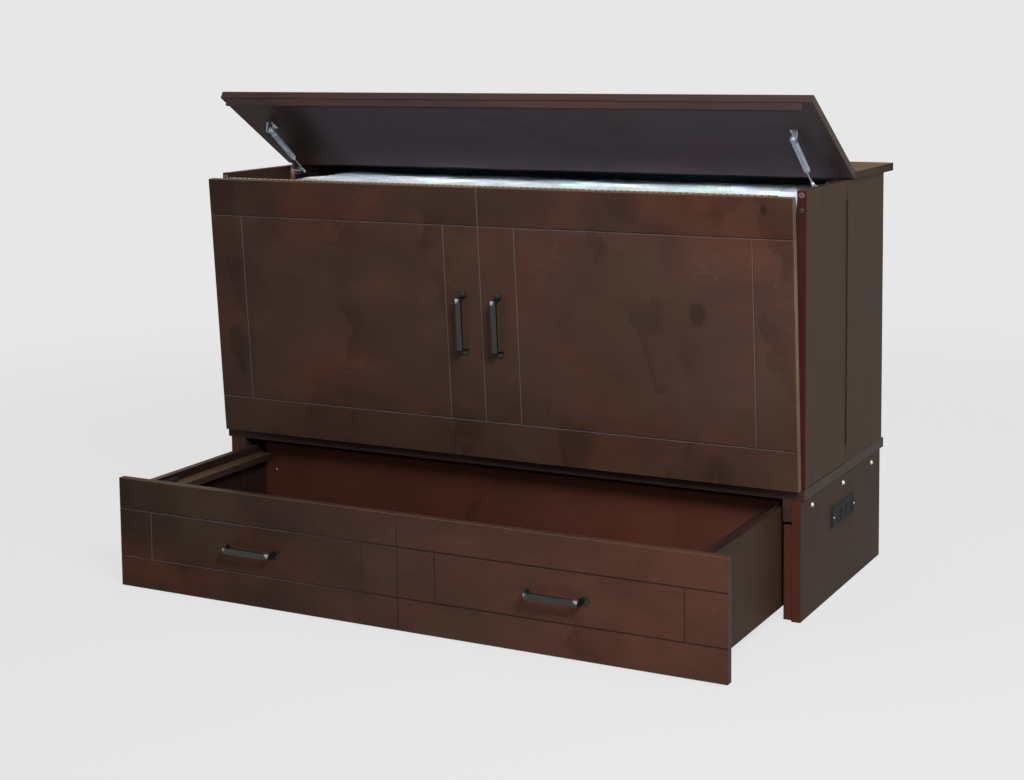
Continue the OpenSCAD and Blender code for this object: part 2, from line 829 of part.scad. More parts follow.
// Places children at a strut's upper pin, with +Y running down the strut
module at_strut(side) {
    translate([side * strut_x, strut_u[0], strut_u[1]]) rotate([strut_angle, 0, 0]) children();
}

// Turns an outline, drawn with x as the radius and y as the distance from the upper pin, into a strut part
module turned() {
    rotate([-90, 0, 0]) rotate_extrude() children();
}

// The tube: a socket with a blind hole for the pin, a neck, and a chamber that the gland closes
module strut_tube(side) {
    socket_r = socket_d / 2;
    neck_r = rod_d / 2 + 2.4;
    tube_r = tube_d / 2;
    end_y = strut_neck + tube_l;
    collar = 3;
    at_strut(side) difference() {
        turned() difference() {
            union() {
                intersection() {
                    translate([0, -socket_r]) square([socket_r, socket_r + strut_neck - 3]);
                    union() {
                        circle(r = socket_r);
                        square([socket_r - 1, strut_neck - 3]);
                    }
                }
                square([neck_r, strut_neck + eps]);
                polygon([
                    [0, strut_neck], [tube_r - 1.5, strut_neck], [tube_r, strut_neck + 1.5],
                    [tube_r, strut_neck + 9], [tube_r + 0.5, strut_neck + 9],
                    [tube_r + 0.5, strut_neck + 9 + collar],
                    [tube_r, strut_neck + 9 + collar], [tube_r, end_y - gland_l],
                    [tube_r + 0.5, end_y - gland_l], [tube_r + 0.5, end_y - gland_l + collar],
                    [tube_r, end_y - gland_l + collar], [tube_r, end_y - 2], [tube_r - 2, end_y], [0, end_y]
                ]);
            }
            translate([0, strut_neck + 6]) square([chamber_r, tube_l - 6 - gland_l]);
            translate([0, strut_neck + 6]) square([rod_d / 2 + running, tube_l]);
        }
        mirror([side < 0 ? 1 : 0, 0, 0]) rod_x(-socket_depth, socket_d, pin_d / 2 + running);
    }
}

module strut_tube_left() {
    color([0.62, 0.66, 0.70]) in_frame() strut_tube(-1);
}

module strut_tube_right() {
    color([0.62, 0.66, 0.70]) in_frame() strut_tube(1);
}

// The rod, with the piston on its upper end and the eye on its lower end
module strut_rod(side) {
    rod_r = rod_d / 2;
    eye_r = eye_d / 2;
    top = strut_len - rod_l;
    at_strut(side) turned() {
        polygon([
            [0, top], [piston_r, top], [piston_r, top + piston_l], [rod_r, top + piston_l],
            [rod_r, strut_len - eye_r - 9], [rod_r + 1.5, strut_len - eye_r - 8],
            [rod_r + 1.5, strut_len - eye_r + 1], [0, strut_len - eye_r + 1]
        ]);
        intersection() {
            translate([0, strut_len]) circle(r = eye_r);
            translate([0, top]) square([eye_r, rod_l + eye_r]);
        }
    }
}

module strut_rod_left() {
    color([0.80, 0.82, 0.84]) in_frame() strut_rod(-1);
}

module strut_rod_right() {
    color([0.80, 0.82, 0.84]) in_frame() strut_rod(1);
}

// ---------- front panel and foot panel ----------

module front_panel() {
    color([0.24, 0.16, 0.14]) in_frame() at_panel() difference() {
        board([-panel_w / 2, -panel_t, hinge_gap], [panel_w / 2, 0, panel_h + hinge_gap]);
        translate([0, -panel_t, hinge_gap]) door_grooves(panel_w, panel_h, panel_rail, panel_rail);
        barrel_cut(long_hinge_l);
        rotate([180, 0, 0]) leaf_pocket(long_hinge_l, 1);
        translate([0, hinge_gap / 2, panel_h + 2 * hinge_gap]) {
            barrel_cut(long_hinge_l);
            leaf_pocket(long_hinge_l, -1);
        }
    }
}

module panel_hinge_leaf() {
    color([0.55, 0.50, 0.42]) in_frame() at_panel() rotate([180, 0, 0])
        hinge_leaf(long_hinge_l, 1, 1, false);
}

module panel_handle(side) {
    color([0.13, 0.13, 0.14]) in_frame() at_panel()
        translate([side * panel_handle_x, -panel_t, hinge_gap + panel_handle_z]) handle_strip();
}

module panel_handle_left() {
    panel_handle(-1);
}

module panel_handle_right() {
    panel_handle(1);
}

module foot_panel() {
    color([0.26, 0.18, 0.15]) in_frame() at_foot_hinge() difference() {
        board([-foot_w / 2, hinge_gap / 2, -hinge_gap - foot_h],
            [foot_w / 2, hinge_gap / 2 + foot_t, -hinge_gap]);
        barrel_cut(long_hinge_l);
        leaf_pocket(long_hinge_l, 1);
    }
}

module panel_foot_hinge_leaf() {
    color([0.62, 0.58, 0.50]) in_frame() at_foot_hinge() hinge_leaf(long_hinge_l, -1, 0, true);
}

module foot_hinge_leaf() {
    color([0.62, 0.58, 0.50]) in_frame() at_foot_hinge() hinge_leaf(long_hinge_l, 1, 1, false);
}

// The legs under the foot panel's free end, folded up against it
module foot_legs() {
    y0 = hinge_gap / 2 + foot_t;
    end_gap = 20;
    wall = 1.5;
    cap = 6;
    plate = [leg_w + 24, wall + eps, 46];
    color([0.12, 0.12, 0.13]) in_frame() at_foot_hinge() for (s = [-1, 1])
        translate([s * leg_x, y0, end_gap - hinge_gap - foot_h]) {
            translate([-leg_w / 2, wall, 0]) difference() {
                cube([leg_w, leg_w, leg_l]);
                translate([wall, wall, -1]) cube([leg_w - 2 * wall, leg_w - 2 * wall, leg_l - cap]);
            }
            translate([-plate[0] / 2, 0, 0]) cube(plate);
        }
}

// ---------- drawer ----------

module drawer_front() {
    color([0.29, 0.19, 0.16]) in_frame() translate([0, drawer_y, drawer_lift]) difference() {
        board([-drawer_w / 2, -drawer_front_t, 0], [drawer_w / 2, 0, drawer_h]);
        translate([0, -drawer_front_t, 0]) door_grooves(drawer_w, drawer_h, drawer_rail, -1);
    }
}

module drawer_side(side) {
    x0 = side > 0 ? box_in : -box_out;
    board([x0, drawer_y, box_z], [x0 + box_t, box_rear_y, box_z + box_h]);
}

module drawer_side_left() {
    color([0.24, 0.17, 0.14]) in_frame() drawer_side(-1);
}

module drawer_side_right() {
    color([0.24, 0.17, 0.14]) in_frame() drawer_side(1);
}

module drawer_back() {
    color([0.30, 0.15, 0.11]) in_frame()
        board([-box_in, box_rear_y - box_t, box_z], [box_in, box_rear_y, box_z + box_h]);
}

module drawer_bottom() {
    color([0.28, 0.15, 0.11]) in_frame()
        box([-box_in, drawer_y, bottom_z], [box_in, box_rear_y - box_t, bottom_z + bottom_t]);
}

module drawer_ledges() {
    z1 = box_z + box_h - ledge_drop;
    color([0.23, 0.16, 0.13]) in_frame() for (s = [0, 1]) mirror([s, 0, 0])
        board([box_in - ledge_w, drawer_y, z1 - ledge_t], [box_in, box_rear_y - box_t - ledge_short, z1]);
}

// Nylon guides at the rear of the drawer sides, which run in the slots between the liners and the rails
module drawer_guides() {
    setback = 4;
    reach = liner_in + liner_t / 2;
    color([0.75, 0.74, 0.70]) in_frame() for (s = [0, 1]) mirror([s, 0, 0])
        board([box_out, box_rear_y - setback - guide_l, liner_top + apart],
            [reach, box_rear_y - setback, rail_under - apart]);
}

module at_caster(sx, rear) {
    y = rear ? box_rear_y - caster_y : drawer_y + caster_y;
    translate([sx * caster_x, y, wheel_r]) children();
}

module caster_forks() {
    leg_in = wheel_w / 2 + 1;
    leg_out = leg_in + caster_fork_t;
    top = bottom_z - wheel_r;
    plate_half = [24, 20];
    boss_r = axle_d / 2 + 3;
    color([0.55, 0.56, 0.58]) in_frame() for (sx = [-1, 1]) for (rear = [false, true]) at_caster(sx, rear) {
        box([-plate_half[0], -plate_half[1], top - caster_plate_t], [plate_half[0], plate_half[1], top]);
        for (s = [-1, 1]) {
            x0 = s > 0 ? leg_in : -leg_out;
            difference() {
                union() {
                    rod_x(x0, x0 + caster_fork_t, boss_r);
                    box([x0, -boss_r, 0], [x0 + caster_fork_t, boss_r, top - caster_plate_t + eps]);
                }
                rod_x(x0 - 1, x0 + caster_fork_t + 1, axle_d / 2 - eps);
            }
        }
        rod_x(-leg_out - 1.5, leg_out + 1.5, axle_d / 2);
    }
}

module wheel(sx, rear) {
    tread = 3;
    half = wheel_w / 2;
    bore_r = axle_d / 2 + running;
    color([0.10, 0.10, 0.10]) in_frame() at_caster(sx, rear) rotate([0, 90, 0]) rotate_extrude()
        polygon([
            [bore_r, -half], [bore_r + 3, -half], [bore_r + 4, -half + 2], [wheel_r - tread - 2, -half + 2],
            [wheel_r - tread, -half], [wheel_r - 1, -half], [wheel_r, -half + 1], [wheel_r, half - 1],
            [wheel_r - 1, half], [wheel_r - tread, half], [wheel_r - tread - 2, half - 2],
            [bore_r + 4, half - 2], [bore_r + 3, half], [bore_r, half]
        ]);
}

module wheel_front_left() {
    wheel(-1, false);
}

module wheel_front_right() {
    wheel(1, false);
}

module wheel_rear_left() {
    wheel(-1, true);
}

module wheel_rear_right() {
    wheel(1, true);
}

module drawer_handle(side) {
    color([0.13, 0.13, 0.14]) in_frame()
        translate([side * drawer_handle_x, drawer_y - drawer_front_t, drawer_lift + drawer_h / 2])
            rotate([0, 90, 0]) handle_strip();
}

module drawer_handle_left() {
    drawer_handle(-1);
}

module drawer_handle_right() {
    drawer_handle(1);
}

// ---------- mattress ----------

// One standing section of the folded mattress, with rounded long edges
module mattress_section(i) {
    r = 28;
    y0 = mattress_y + i * (mattress_t + section_gap);
    color([0.86, 0.86, 0.88]) in_frame() translate([-mattress_w / 2, y0, deck_z + apart])
        rotate([90, 0, 90]) linear_extrude(mattress_w) {
            translate([r, 0]) square([mattress_t - 2 * r, mattress_h]);
            translate([0, r]) square([mattress_t, mattress_h - 2 * r]);
            for (y = [r, mattress_t - r]) for (z = [r, mattress_h - r]) translate([y, z]) circle(r = r);
        }
}

module mattress_front() {
    mattress_section(0);
}

module mattress_middle() {
    mattress_section(1);
}

module mattress_rear() {
    mattress_section(2);
}

base_side_left();
base_side_right();
base_liners();
deck_rails();
base_back();
base_bolts();
outlet_plate();
outlet_sockets();
outlet_screws();
deck();
deck_hinge_leaf();
rear_side_left();
rear_side_right();
stiles();
side_hinge_leaf_left();
side_hinge_leaf_right();
back_panel();
fixed_top();
top_hinge_leaf();
strut_feet();
mattress_front();
mattress_middle();
mattress_rear();
lid();
lid_lip();
lid_hinge_leaf();
strut_heads();
strut_tube_left();
strut_tube_right();
strut_rod_left();
strut_rod_right();
front_panel();
panel_hinge_leaf();
panel_handle_left();
panel_handle_right();
foot_panel();
panel_foot_hinge_leaf();
foot_hinge_leaf();
foot_legs();
wing_left();
wing_right();
wing_hinge_leaf_left();
wing_hinge_leaf_right();
wing_catch_left();
wing_catch_right();
drawer_front();
drawer_side_left();
drawer_side_right();
drawer_back();
drawer_bottom();
drawer_ledges();
drawer_guides();
caster_forks();
drawer_handle_left();
drawer_handle_right();
wheel_front_left();
wheel_front_right();
wheel_rear_left();
wheel_rear_right();
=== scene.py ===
# %% [markdown]
# # A cabinet bed that folds out of its own chest
#
# The bed is a chest of dark stained birch plywood. Its lid is held up by two gas struts, its front
# panel leans open, and its long drawer is pulled out. The rigid parts come ready made from the
# construction model. This lesson dresses them: it sets the camera and the lamps, gives every part
# a finish made of shader nodes, sews the mattress, and adds the small hardware.
#
# We start with an empty scene and load the construction model. Nothing that we add may make the bed
# bigger. Lengths are in metres. The origin is on the floor under the middle of the bed's back, +X
# points to the right, +Y to the back and +Z up.

# %% The construction model
import json
import math
from collections import namedtuple

import bmesh
import bpy
from mathutils import Matrix, Vector, noise

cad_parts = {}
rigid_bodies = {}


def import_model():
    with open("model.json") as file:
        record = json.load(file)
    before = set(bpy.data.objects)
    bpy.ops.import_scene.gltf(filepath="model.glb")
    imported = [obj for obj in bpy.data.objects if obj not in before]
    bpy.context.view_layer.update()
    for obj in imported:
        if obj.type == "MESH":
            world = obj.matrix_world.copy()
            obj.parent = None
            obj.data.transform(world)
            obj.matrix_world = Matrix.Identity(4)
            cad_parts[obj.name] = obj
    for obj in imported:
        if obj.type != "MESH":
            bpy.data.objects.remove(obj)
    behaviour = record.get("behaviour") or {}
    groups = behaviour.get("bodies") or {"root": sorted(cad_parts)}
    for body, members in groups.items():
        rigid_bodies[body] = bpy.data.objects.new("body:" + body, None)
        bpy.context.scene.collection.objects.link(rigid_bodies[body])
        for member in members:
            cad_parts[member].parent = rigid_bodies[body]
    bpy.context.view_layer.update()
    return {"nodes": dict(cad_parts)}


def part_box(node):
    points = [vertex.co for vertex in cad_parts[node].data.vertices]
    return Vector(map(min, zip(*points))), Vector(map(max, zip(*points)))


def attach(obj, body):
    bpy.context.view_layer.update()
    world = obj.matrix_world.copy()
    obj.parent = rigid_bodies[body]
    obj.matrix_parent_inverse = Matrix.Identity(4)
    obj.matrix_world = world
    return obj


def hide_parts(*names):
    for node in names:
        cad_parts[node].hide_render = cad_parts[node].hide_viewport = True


for leftover in list(bpy.data.objects):
    bpy.data.objects.remove(leftover)

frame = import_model()
nodes = frame["nodes"]
bpy.context.scene.view_settings.view_transform = "Standard"

# %% [markdown]
# ## The camera
#
# A catalogue camera stands some four and a half metres off, to the right of the bed and a little
# above the lid. Its direction is built from three unit vectors: where its back points, its right
# side and its up side, with a small roll. The lens is rather long, so the perspective is mild. It
# is shifted downwards, as on a view camera, which keeps upright edges nearly upright.

# %% The camera
MM = 0.001
CAMERA_AZIMUTH, CAMERA_ELEVATION, CAMERA_ROLL = 28.101, 5.691, -0.650
CAMERA_PLACE = Vector((2146.0, -4548.6, 1358.9)) * MM
CAMERA_LENS, FILM_WIDTH = 64.2, 36
CAMERA_SHIFT = (0.006, -0.1686)
VIEW_END = 60


def camera_axes(azimuth, elevation, roll):
    """The camera's right, up and back directions, from angles in degrees."""
    turn, lift, tip = (math.radians(angle) for angle in (azimuth, elevation, roll))
    back = Vector((math.sin(turn) * math.cos(lift), -math.cos(turn) * math.cos(lift), math.sin(lift)))
    side = Vector((math.cos(turn), math.sin(turn), 0))
    up = back.cross(side)
    right = side * math.cos(tip) + up * math.sin(tip)
    return right, -side * math.sin(tip) + up * math.cos(tip), back


axes = camera_axes(CAMERA_AZIMUTH, CAMERA_ELEVATION, CAMERA_ROLL)
camera_data = bpy.data.cameras.new("studio_camera")
camera_data.lens = CAMERA_LENS
camera_data.sensor_width = FILM_WIDTH
camera_data.shift_x, camera_data.shift_y = CAMERA_SHIFT
camera_data.clip_end = VIEW_END
camera = bpy.data.objects.new("studio_camera", camera_data)
camera.matrix_world = Matrix.Translation(CAMERA_PLACE) @ Matrix(axes).transposed().to_4x4()
bpy.context.scene.collection.objects.link(camera)
bpy.context.scene.camera = camera

print("camera looks along", tuple(round(-c, 3) for c in axes[2]))

# %% [markdown]
# ## Writing shaders as sums
#
# A finish is a small piece of maths over the surface: a stain is darker here, a gloss is duller
# there. Blender does that maths with nodes, and wiring them by hand soon hides what they say. So
# one small class wraps a socket, and its operators add the Math nodes: `1 - mask * 0.5` reads as
# it works. A second class holds a tree of nodes and adds any other node in one call. A third is a
# material, with names for the few groups of nodes that come back in every finish.

# %% A socket that can be added and multiplied


class Signal:
    """An output socket that takes part in arithmetic: every operator adds a Math node."""

    def __init__(self, tree, socket):
        self.tree = tree
        self.socket = socket

    def maths(self, operation, *terms):
        """A Math node on these terms, in this order."""
        return self.tree.node("Math", {"operation": operation}, dict(enumerate(terms)))

    def __add__(self, other):
        return self.maths("ADD", self, other)

    def __sub__(self, other):
        return self.maths("SUBTRACT", self, other)

    def __rsub__(self, other):
        return self.maths("SUBTRACT", other, self)

    def __mul__(self, other):
        return self.maths("MULTIPLY", self, other)

    def __truediv__(self, other):
        return self.maths("DIVIDE", self, other)

    def __rtruediv__(self, other):
        return self.maths("DIVIDE", other, self)

    def __neg__(self):
        return self.maths("MULTIPLY", self, -1)

    def __abs__(self):
        return self.maths("ABSOLUTE", self)

    def larger(self, other):
        return self.maths("MAXIMUM", self, other)

    def root(self):
        return self.maths("SQRT", self)

    def sine(self):
        return self.maths("SINE", self)

    def fraction(self):
        """What is left over the whole number: a saw-tooth, which drops at once from 1 to 0."""
        return self.maths("FRACT", self)

    __radd__ = __add__
    __rmul__ = __mul__


print("signals can be added, multiplied and compared")

# %% A tree with one method for every node


class Tree:
    """The node tree of a material or of the world."""

    def __init__(self, tree, output):
        self.tree = tree
        tree.nodes.clear()
        self.output = self.node(output)

    def plug(self, place, value):
        """Links a signal to an input socket, or writes a plain value there."""
        if isinstance(value, Signal):
            self.tree.links.new(value.socket, place)
        elif isinstance(value, tuple) and place.type == "RGBA":
            place.default_value = (*value[:3], 1)
        else:
            place.default_value = value

    def node(self, kind, settings=None, sockets=None, out=0):
        """Adds a node and fills its sockets. Hands back an output, or the node if it has none."""
        made = self.tree.nodes.new("ShaderNode" + kind)
        for name, value in (settings or {}).items():
            setattr(made, name, value)
        for name, value in (sockets or {}).items():
            self.plug(made.inputs[name], value)
        return Signal(self, made.outputs[out]) if made.outputs else made

    def show(self, shader):
        """Makes a shader what the material or the world shows."""
        self.plug(self.output.inputs["Surface"], shader)


def shade(red, green, blue):
    """A colour written as on a paint card, 0 to 255, as the linear light that a shader wants."""
    card = (red / 255, green / 255, blue / 255)
    return tuple(((c + 0.055) / 1.055) ** 2.4 if c > 0.04 else c / 12.92 for c in card)


print("shade of a dark stain:", tuple(round(c, 4) for c in shade(72, 52, 45)))

# %% A finish
MIX_FIRST, MIX_SECOND, MIX_RESULT = 6, 7, 2  # where a Mix node keeps its colours


class Finish(Tree):
    """A material on the Principled shader. Its constants are set on the shader's own sockets."""

    def __init__(self, name, **constants):
        self.material = bpy.data.materials.new(name)
        self.material.use_nodes = True
        super().__init__(self.material.node_tree, "OutputMaterial")
        self.surface = self.node("BsdfPrincipled")
        self.show(self.surface)
        self.feed(**constants)

    def feed(self, **sockets):
        """Fills the shader's sockets by name, and hands back the material."""
        shader = self.surface.socket.node
        for name, value in sockets.items():
            self.plug(shader.inputs[name.replace("_", " ")], value)
        return self.material

    def place(self, scale=(1, 1, 1), shift=(0, 0, 0)):
        """The point on the object, in metres, stretched by scale and then moved by shift."""
        point = self.node("TexCoord", out="Object")
        return self.node("Mapping", None, {"Vector": point, "Scale": scale, "Location": shift})

    def parts(self, vector):
        """The three numbers of a vector."""
        first = self.node("SeparateXYZ", None, {0: vector})
        return [Signal(self, socket) for socket in first.socket.node.outputs]

    def spot(self):
        """How far the point lies to the right, to the back and up."""
        return self.parts(self.place())

    def normal(self):
        """How far the surface looks to the right, to the back and up, from -1 to 1."""
        return self.parts(self.node("TexCoord", out="Normal"))

    def cloud(self, spot, scale, detail=2, roughness=0.5, distortion=0):
        """Soft noise from 0 to 1."""
        wanted = {"Scale": scale, "Detail": detail, "Roughness": roughness, "Distortion": distortion}
        return self.node("TexNoise", None, {"Vector": spot, **wanted})

    def blend(self, amount, first, second):
        """Mixes two colours."""
        sockets = {"Factor": amount, MIX_FIRST: first, MIX_SECOND: second}
        return self.node("Mix", {"data_type": "RGBA"}, sockets, MIX_RESULT)

    def dim(self, colour, amount):
        """A colour made darker or lighter as a whole."""
        return self.node("VectorMath", {"operation": "SCALE"}, {0: colour, "Scale": amount})

    def window(self, value, start, end):
        """0 before start, 1 after end, smooth between them. It may run down as well as up."""
        sockets = {"Value": value, "From Min": start, "From Max": end}
        return self.node("MapRange", {"interpolation_type": "SMOOTHSTEP"}, sockets)

    def bump(self, height, distance, strength):
        """A surface normal from a height between 0 and 1 that is distance metres deep."""
        return self.node("Bump", None, {"Height": height, "Distance": distance, "Strength": strength})


print("finish helpers:", ", ".join(name for name in vars(Finish) if not name.startswith("_")))

# %% [markdown]
# ## The studio
#
# The floor is plain and pale, and so is what lies beyond it. What the camera and mirror-like
# surfaces see there is the pale colour itself, while the light on the bed comes from lamps: so
# the background can be light without washing out the dark wood. Close to the bed a little of the
# floor's own shading is let through, which keeps a soft shadow under it. Further off there is
# none, so floor and sky meet without a line.

# %% The sky
BACKDROP = shade(231, 231, 231)
SKY_LIGHT = 0.12


def seen_directly(tree):
    """1 for rays that come from the camera, a mirror or glass, else 0."""
    kinds = ("Is Camera Ray", "Is Glossy Ray", "Is Transmission Ray")
    camera_ray, mirror_ray, glass_ray = (tree.node("LightPath", out=kind) for kind in kinds)
    return camera_ray.larger(mirror_ray).larger(glass_ray)


world = bpy.data.worlds.new("studio")
bpy.context.scene.world = world
world.use_nodes = True
sky = Tree(world.node_tree, "OutputWorld")
sky_seen = sky.node("Background", None, {"Color": BACKDROP, "Strength": 1})
sky_lamp = sky.node("Background", None, {"Color": (1, 1, 1), "Strength": SKY_LIGHT})
sky.show(sky.node("MixShader", None, {0: seen_directly(sky), 1: sky_lamp, 2: sky_seen}))

print("sky light:", SKY_LIGHT)

# %% The floor
FLOOR_HALF = 30
FLOOR_PAINT = shade(226, 226, 226)
FLOOR_ROUGHNESS = 0.9
FLOOR_GLOW = 0.88
SHADOW_NEAR, SHADOW_FAR = 1.6, 4.5

floor_mesh = bpy.data.meshes.new("floor")
corners = [(x * FLOOR_HALF, y * FLOOR_HALF, 0) for x, y in ((-1, -1), (1, -1), (1, 1), (-1, 1))]
floor_mesh.from_pydata(corners, [], [(0, 1, 2, 3)])
floor = bpy.data.objects.new("floor", floor_mesh)
bpy.context.scene.collection.objects.link(floor)

paint = Finish("floor_paint", Base_Color=FLOOR_PAINT, Roughness=FLOOR_ROUGHNESS, Specular_IOR_Level=0.0)
reach = paint.node("VectorMath", {"operation": "LENGTH"}, {0: paint.place()}, "Value")
far_off = paint.window(reach, SHADOW_NEAR, SHADOW_FAR)
glowing = seen_directly(paint) * (FLOOR_GLOW + far_off * (1 - FLOOR_GLOW))
floor_seen = paint.node("Emission", None, {"Color": BACKDROP, "Strength": 1})
paint.show(paint.node("MixShader", None, {0: glowing, 1: paint.surface, 2: floor_seen}))
floor_mesh.materials.append(paint.material)

print("floor", 2 * FLOOR_HALF, "m square")

# %% [markdown]
# ## Softboxes
#
# The main lamp stands close, in front of the right end and rather high, so the light falls off
# along the bed: the left end of the drawer front is the darkest part of the wood, and painted shade
# in the fronts' stain darkens it further. A low lamp in front looks in under the lid. A warm one
# lights the right end, and broad ones above, behind and at the left keep the shadows open.

# %% Softboxes
LAMP_TARGET = Vector((0, -0.5, 0.5))


def softbox(name, place, size, power, tint=(1, 1, 1), target=LAMP_TARGET):
    """A square lamp that looks at the bed. Its size is in metres and its power in watts."""
    data = bpy.data.lights.new(name, "AREA")
    data.size = size
    data.energy = power
    data.color = tint
    lamp = bpy.data.objects.new(name, data)
    lamp.location = place
    lamp.rotation_euler = (target - Vector(place)).to_track_quat("-Z", "Y").to_euler()
    bpy.context.scene.collection.objects.link(lamp)
    return lamp


softbox("front_right", place=(2.7, -3.1, 2.9), size=1.3, power=165)
softbox("front_low", place=(-0.6, -5.0, 1.5), size=1.6, power=14, tint=(0.90, 0.96, 1))
softbox("front_left", place=(-4.6, -4.2, 2.4), size=2.4, power=12)
softbox("right_side", place=(5.6, -0.4, 2.2), size=2.2, power=36, tint=(1, 0.95, 0.86))
softbox("overhead", place=(0, -0.2, 4.2), size=3.0, power=45)
softbox("behind", place=(-1.0, 4.8, 2.6), size=2.6, power=50)

print("lamps:", sum(o.type == "LIGHT" for o in bpy.data.objects))

# %% [markdown]
# ## Strips of light under the lid
#
# The top of the mattress lies in a slot between the lid and the front panel, where the softboxes
# hardly reach. A stronger softbox would light the lid's edge and the panel too. Two long narrow
# lamps do it better, because their beams hardly spread: they pass over the front panel, under the
# lid, and meet only the near pads and the far ones.

# %% Strips of light
STRIP_LENGTH, STRIP_WIDTH = 1.66, 0.05
STRIP_AWAY = 3.0
COOL = (0.84, 0.88, 1)


def strip(name, target, rise, spread, power):
    """A long narrow lamp in front of the bed, rise degrees up from a target under the lid."""
    slope = math.radians(rise)
    place = Vector(target) + STRIP_AWAY * Vector((0, -math.cos(slope), math.sin(slope)))
    lamp = softbox(name, place, STRIP_LENGTH, power, COOL, Vector(target))
    lamp.data.shape = "RECTANGLE"
    lamp.data.size_y = STRIP_WIDTH
    lamp.data.spread = math.radians(spread)


strip("near_pads", target=(0, -0.47, 0.97), rise=40, spread=2, power=0.17)
strip("far_pads", target=(0, -0.26, 0.975), rise=17, spread=1.2, power=0.60)

print("lamps with the strips:", sum(o.type == "LIGHT" for o in bpy.data.objects))

# %% [markdown]
# ## Stained birch plywood
#
# The case is birch plywood under a dark brown stain and a satin lacquer. Birch takes stain
# unevenly, so the colour is blotchy. There are soft clouds, reddish in one place and olive in
# another. There are flakes, dark on one side of a crisp upright edge and fading out on the other,
# where the grain dives under the surface. The veneer is peeled off the log like paper off a roll,
# which leaves short thin lines that glow reddish, as contour lines do on a map. Fine fibres run
# along the board, and here and there sits a knot.
#
# A picture of wood would repeat, and would break at every edge. Here all of it is worked out from
# the point on the object, so the pattern runs on round a corner, as in a solid board. A saw-tooth
# of a wavy field makes the crisp edges: it climbs slowly and drops at once. A sine of another
# field crosses zero along thin curves: those are the lines. Each noise but the fibres' has a shift
# of its own, with the finish's seed in it, so that they don't repeat each other.

# %% Flakes and contour lines
FLAKES_PER_METRE, FLAKE_TILT, FLAKE_BEND = 3.4, 0.6, 1.7
FLAKE_EDGE = 0.05
FLAKE_SPOTS = (0.47, 0.62)
CONTOURS = 48
CONTOUR_WIDTH = (0.14, 0.02)


def with_grain(turned, across, along):
    """Scales across and along the grain, which runs level, or upright on a turned board."""
    return (across, across, along) if turned else (along, along, across)


def flakes(wood, seed):
    """1 on the dark side of a crisp upright edge, fading to 0 before the next one."""
    x, y, z = wood.parts(wood.place(shift=(seed, 0.4 * seed, 0.7 * seed)))
    bend = wood.cloud(wood.place((1, 1, 0.6), (seed, 2, 5)), 7.5, detail=4)
    tooth = ((x - y) * FLAKES_PER_METRE + z * FLAKE_TILT + bend * FLAKE_BEND).fraction()
    some = wood.window(wood.cloud(wood.place((1, 1, 0.8), (7, seed, 3)), 6.5), *FLAKE_SPOTS)
    return wood.window(tooth, 0, FLAKE_EDGE) * (1 - tooth) * (1 - tooth) * some


def contours(wood, turned, seed, lines, spots):
    """Thin curved lines, only where a second noise is high enough."""
    stretch = with_grain(turned, 2.3, 1)
    field = wood.cloud(wood.place(stretch, (seed, 3, 8)), 4.2, detail=3, distortion=0.6)
    line = wood.window(abs((field * lines).sine()), *CONTOUR_WIDTH)
    return line * wood.window(wood.cloud(wood.place(stretch, (9, seed, 5)), 6.5), *spots)


print("flakes", round(1 / FLAKES_PER_METRE, 2), "m apart")

# %% [markdown]
# ## Which way a face looks
#
# The stain is thinner on end grain and on the narrow edges. Boards inside the chest get painted
# shade, darker than those outside, and some tops get a painted highlight. We could cut the boards
# into pieces with a material each. It is simpler to ask, in the shader, which way the surface looks
# and where it lies: each way gets a tone of its own, and the change at an edge is as sharp as the
# edge. The heights that part one board from another are read from the construction model.

# %% Faces, low boards and knots
Faces = namedtuple("Faces", "side up down front")
Knot = namedtuple("Knot", "x z wide high dark rim")
FACING = (0.55, 0.85)
PANEL_FOOT, PANEL_TOP = (corner.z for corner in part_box("front_panel"))
DRAWER_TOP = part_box("drawer_front")[1].z
LOW_END = (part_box("base_side_left")[1].z + PANEL_FOOT) / 2
LOW_SOFT = 0.01


def facing(wood):
    """Masks from 0 to 1 for faces that look sideways, up, down and to the front."""
    across, back, up = wood.normal()
    return Faces(*(wood.window(way, *FACING) for way in (abs(across), up, -up, -back)))


def low_board(wood):
    """1 on the drawer and the base, 0 on the chest over them."""
    return wood.window(wood.spot()[2], LOW_END + LOW_SOFT, LOW_END - LOW_SOFT)


def oval(wood, knot):
    """0 in the middle of a knot on a front board, 1 on its rim, and more outside it."""
    x, _, z = wood.spot()
    sideways = (x - knot.x) / (knot.wide / 2)
    upward = (z - knot.z) / (knot.high / 2)
    return sideways * sideways + upward * upward


print("low boards end at", round(LOW_END, 3), "m")

# %% [markdown]
# ## Grooves and top edges with painted light
#
# The fronts are scored with V-grooves that make them look like framed doors. From across a room
# such a groove is a fine pale line, where one flank catches the light, beside a dark one, where the
# other doesn't. The flanks are really there in the boards: the shader finds them by their slope and
# paints a highlight on one and shade on the other. The lit chamfers along the top edges get a
# painted tan highlight.

# %% Grooves
# Colours of the painted highlight and painted shade on the groove flanks, and of the painted tan
# highlight on the top edges.
GROOVE_HIGHLIGHT, GROOVE_SHADE, TOP_EDGE_HIGHLIGHT = shade(90, 86, 90), shade(34, 26, 25), shade(114, 88, 66)
SLOPE_STARTS, SLOPE_ENDS = (0.45, 0.6), (0.82, 0.95)
TURNED_TO_LIGHT = (0.3, 0.5)
TOP_EDGE_WIDTH = (0.006, 0.004)
LIT, LIT_FADE, UNLIT = 0.54, 0.18, 0.8


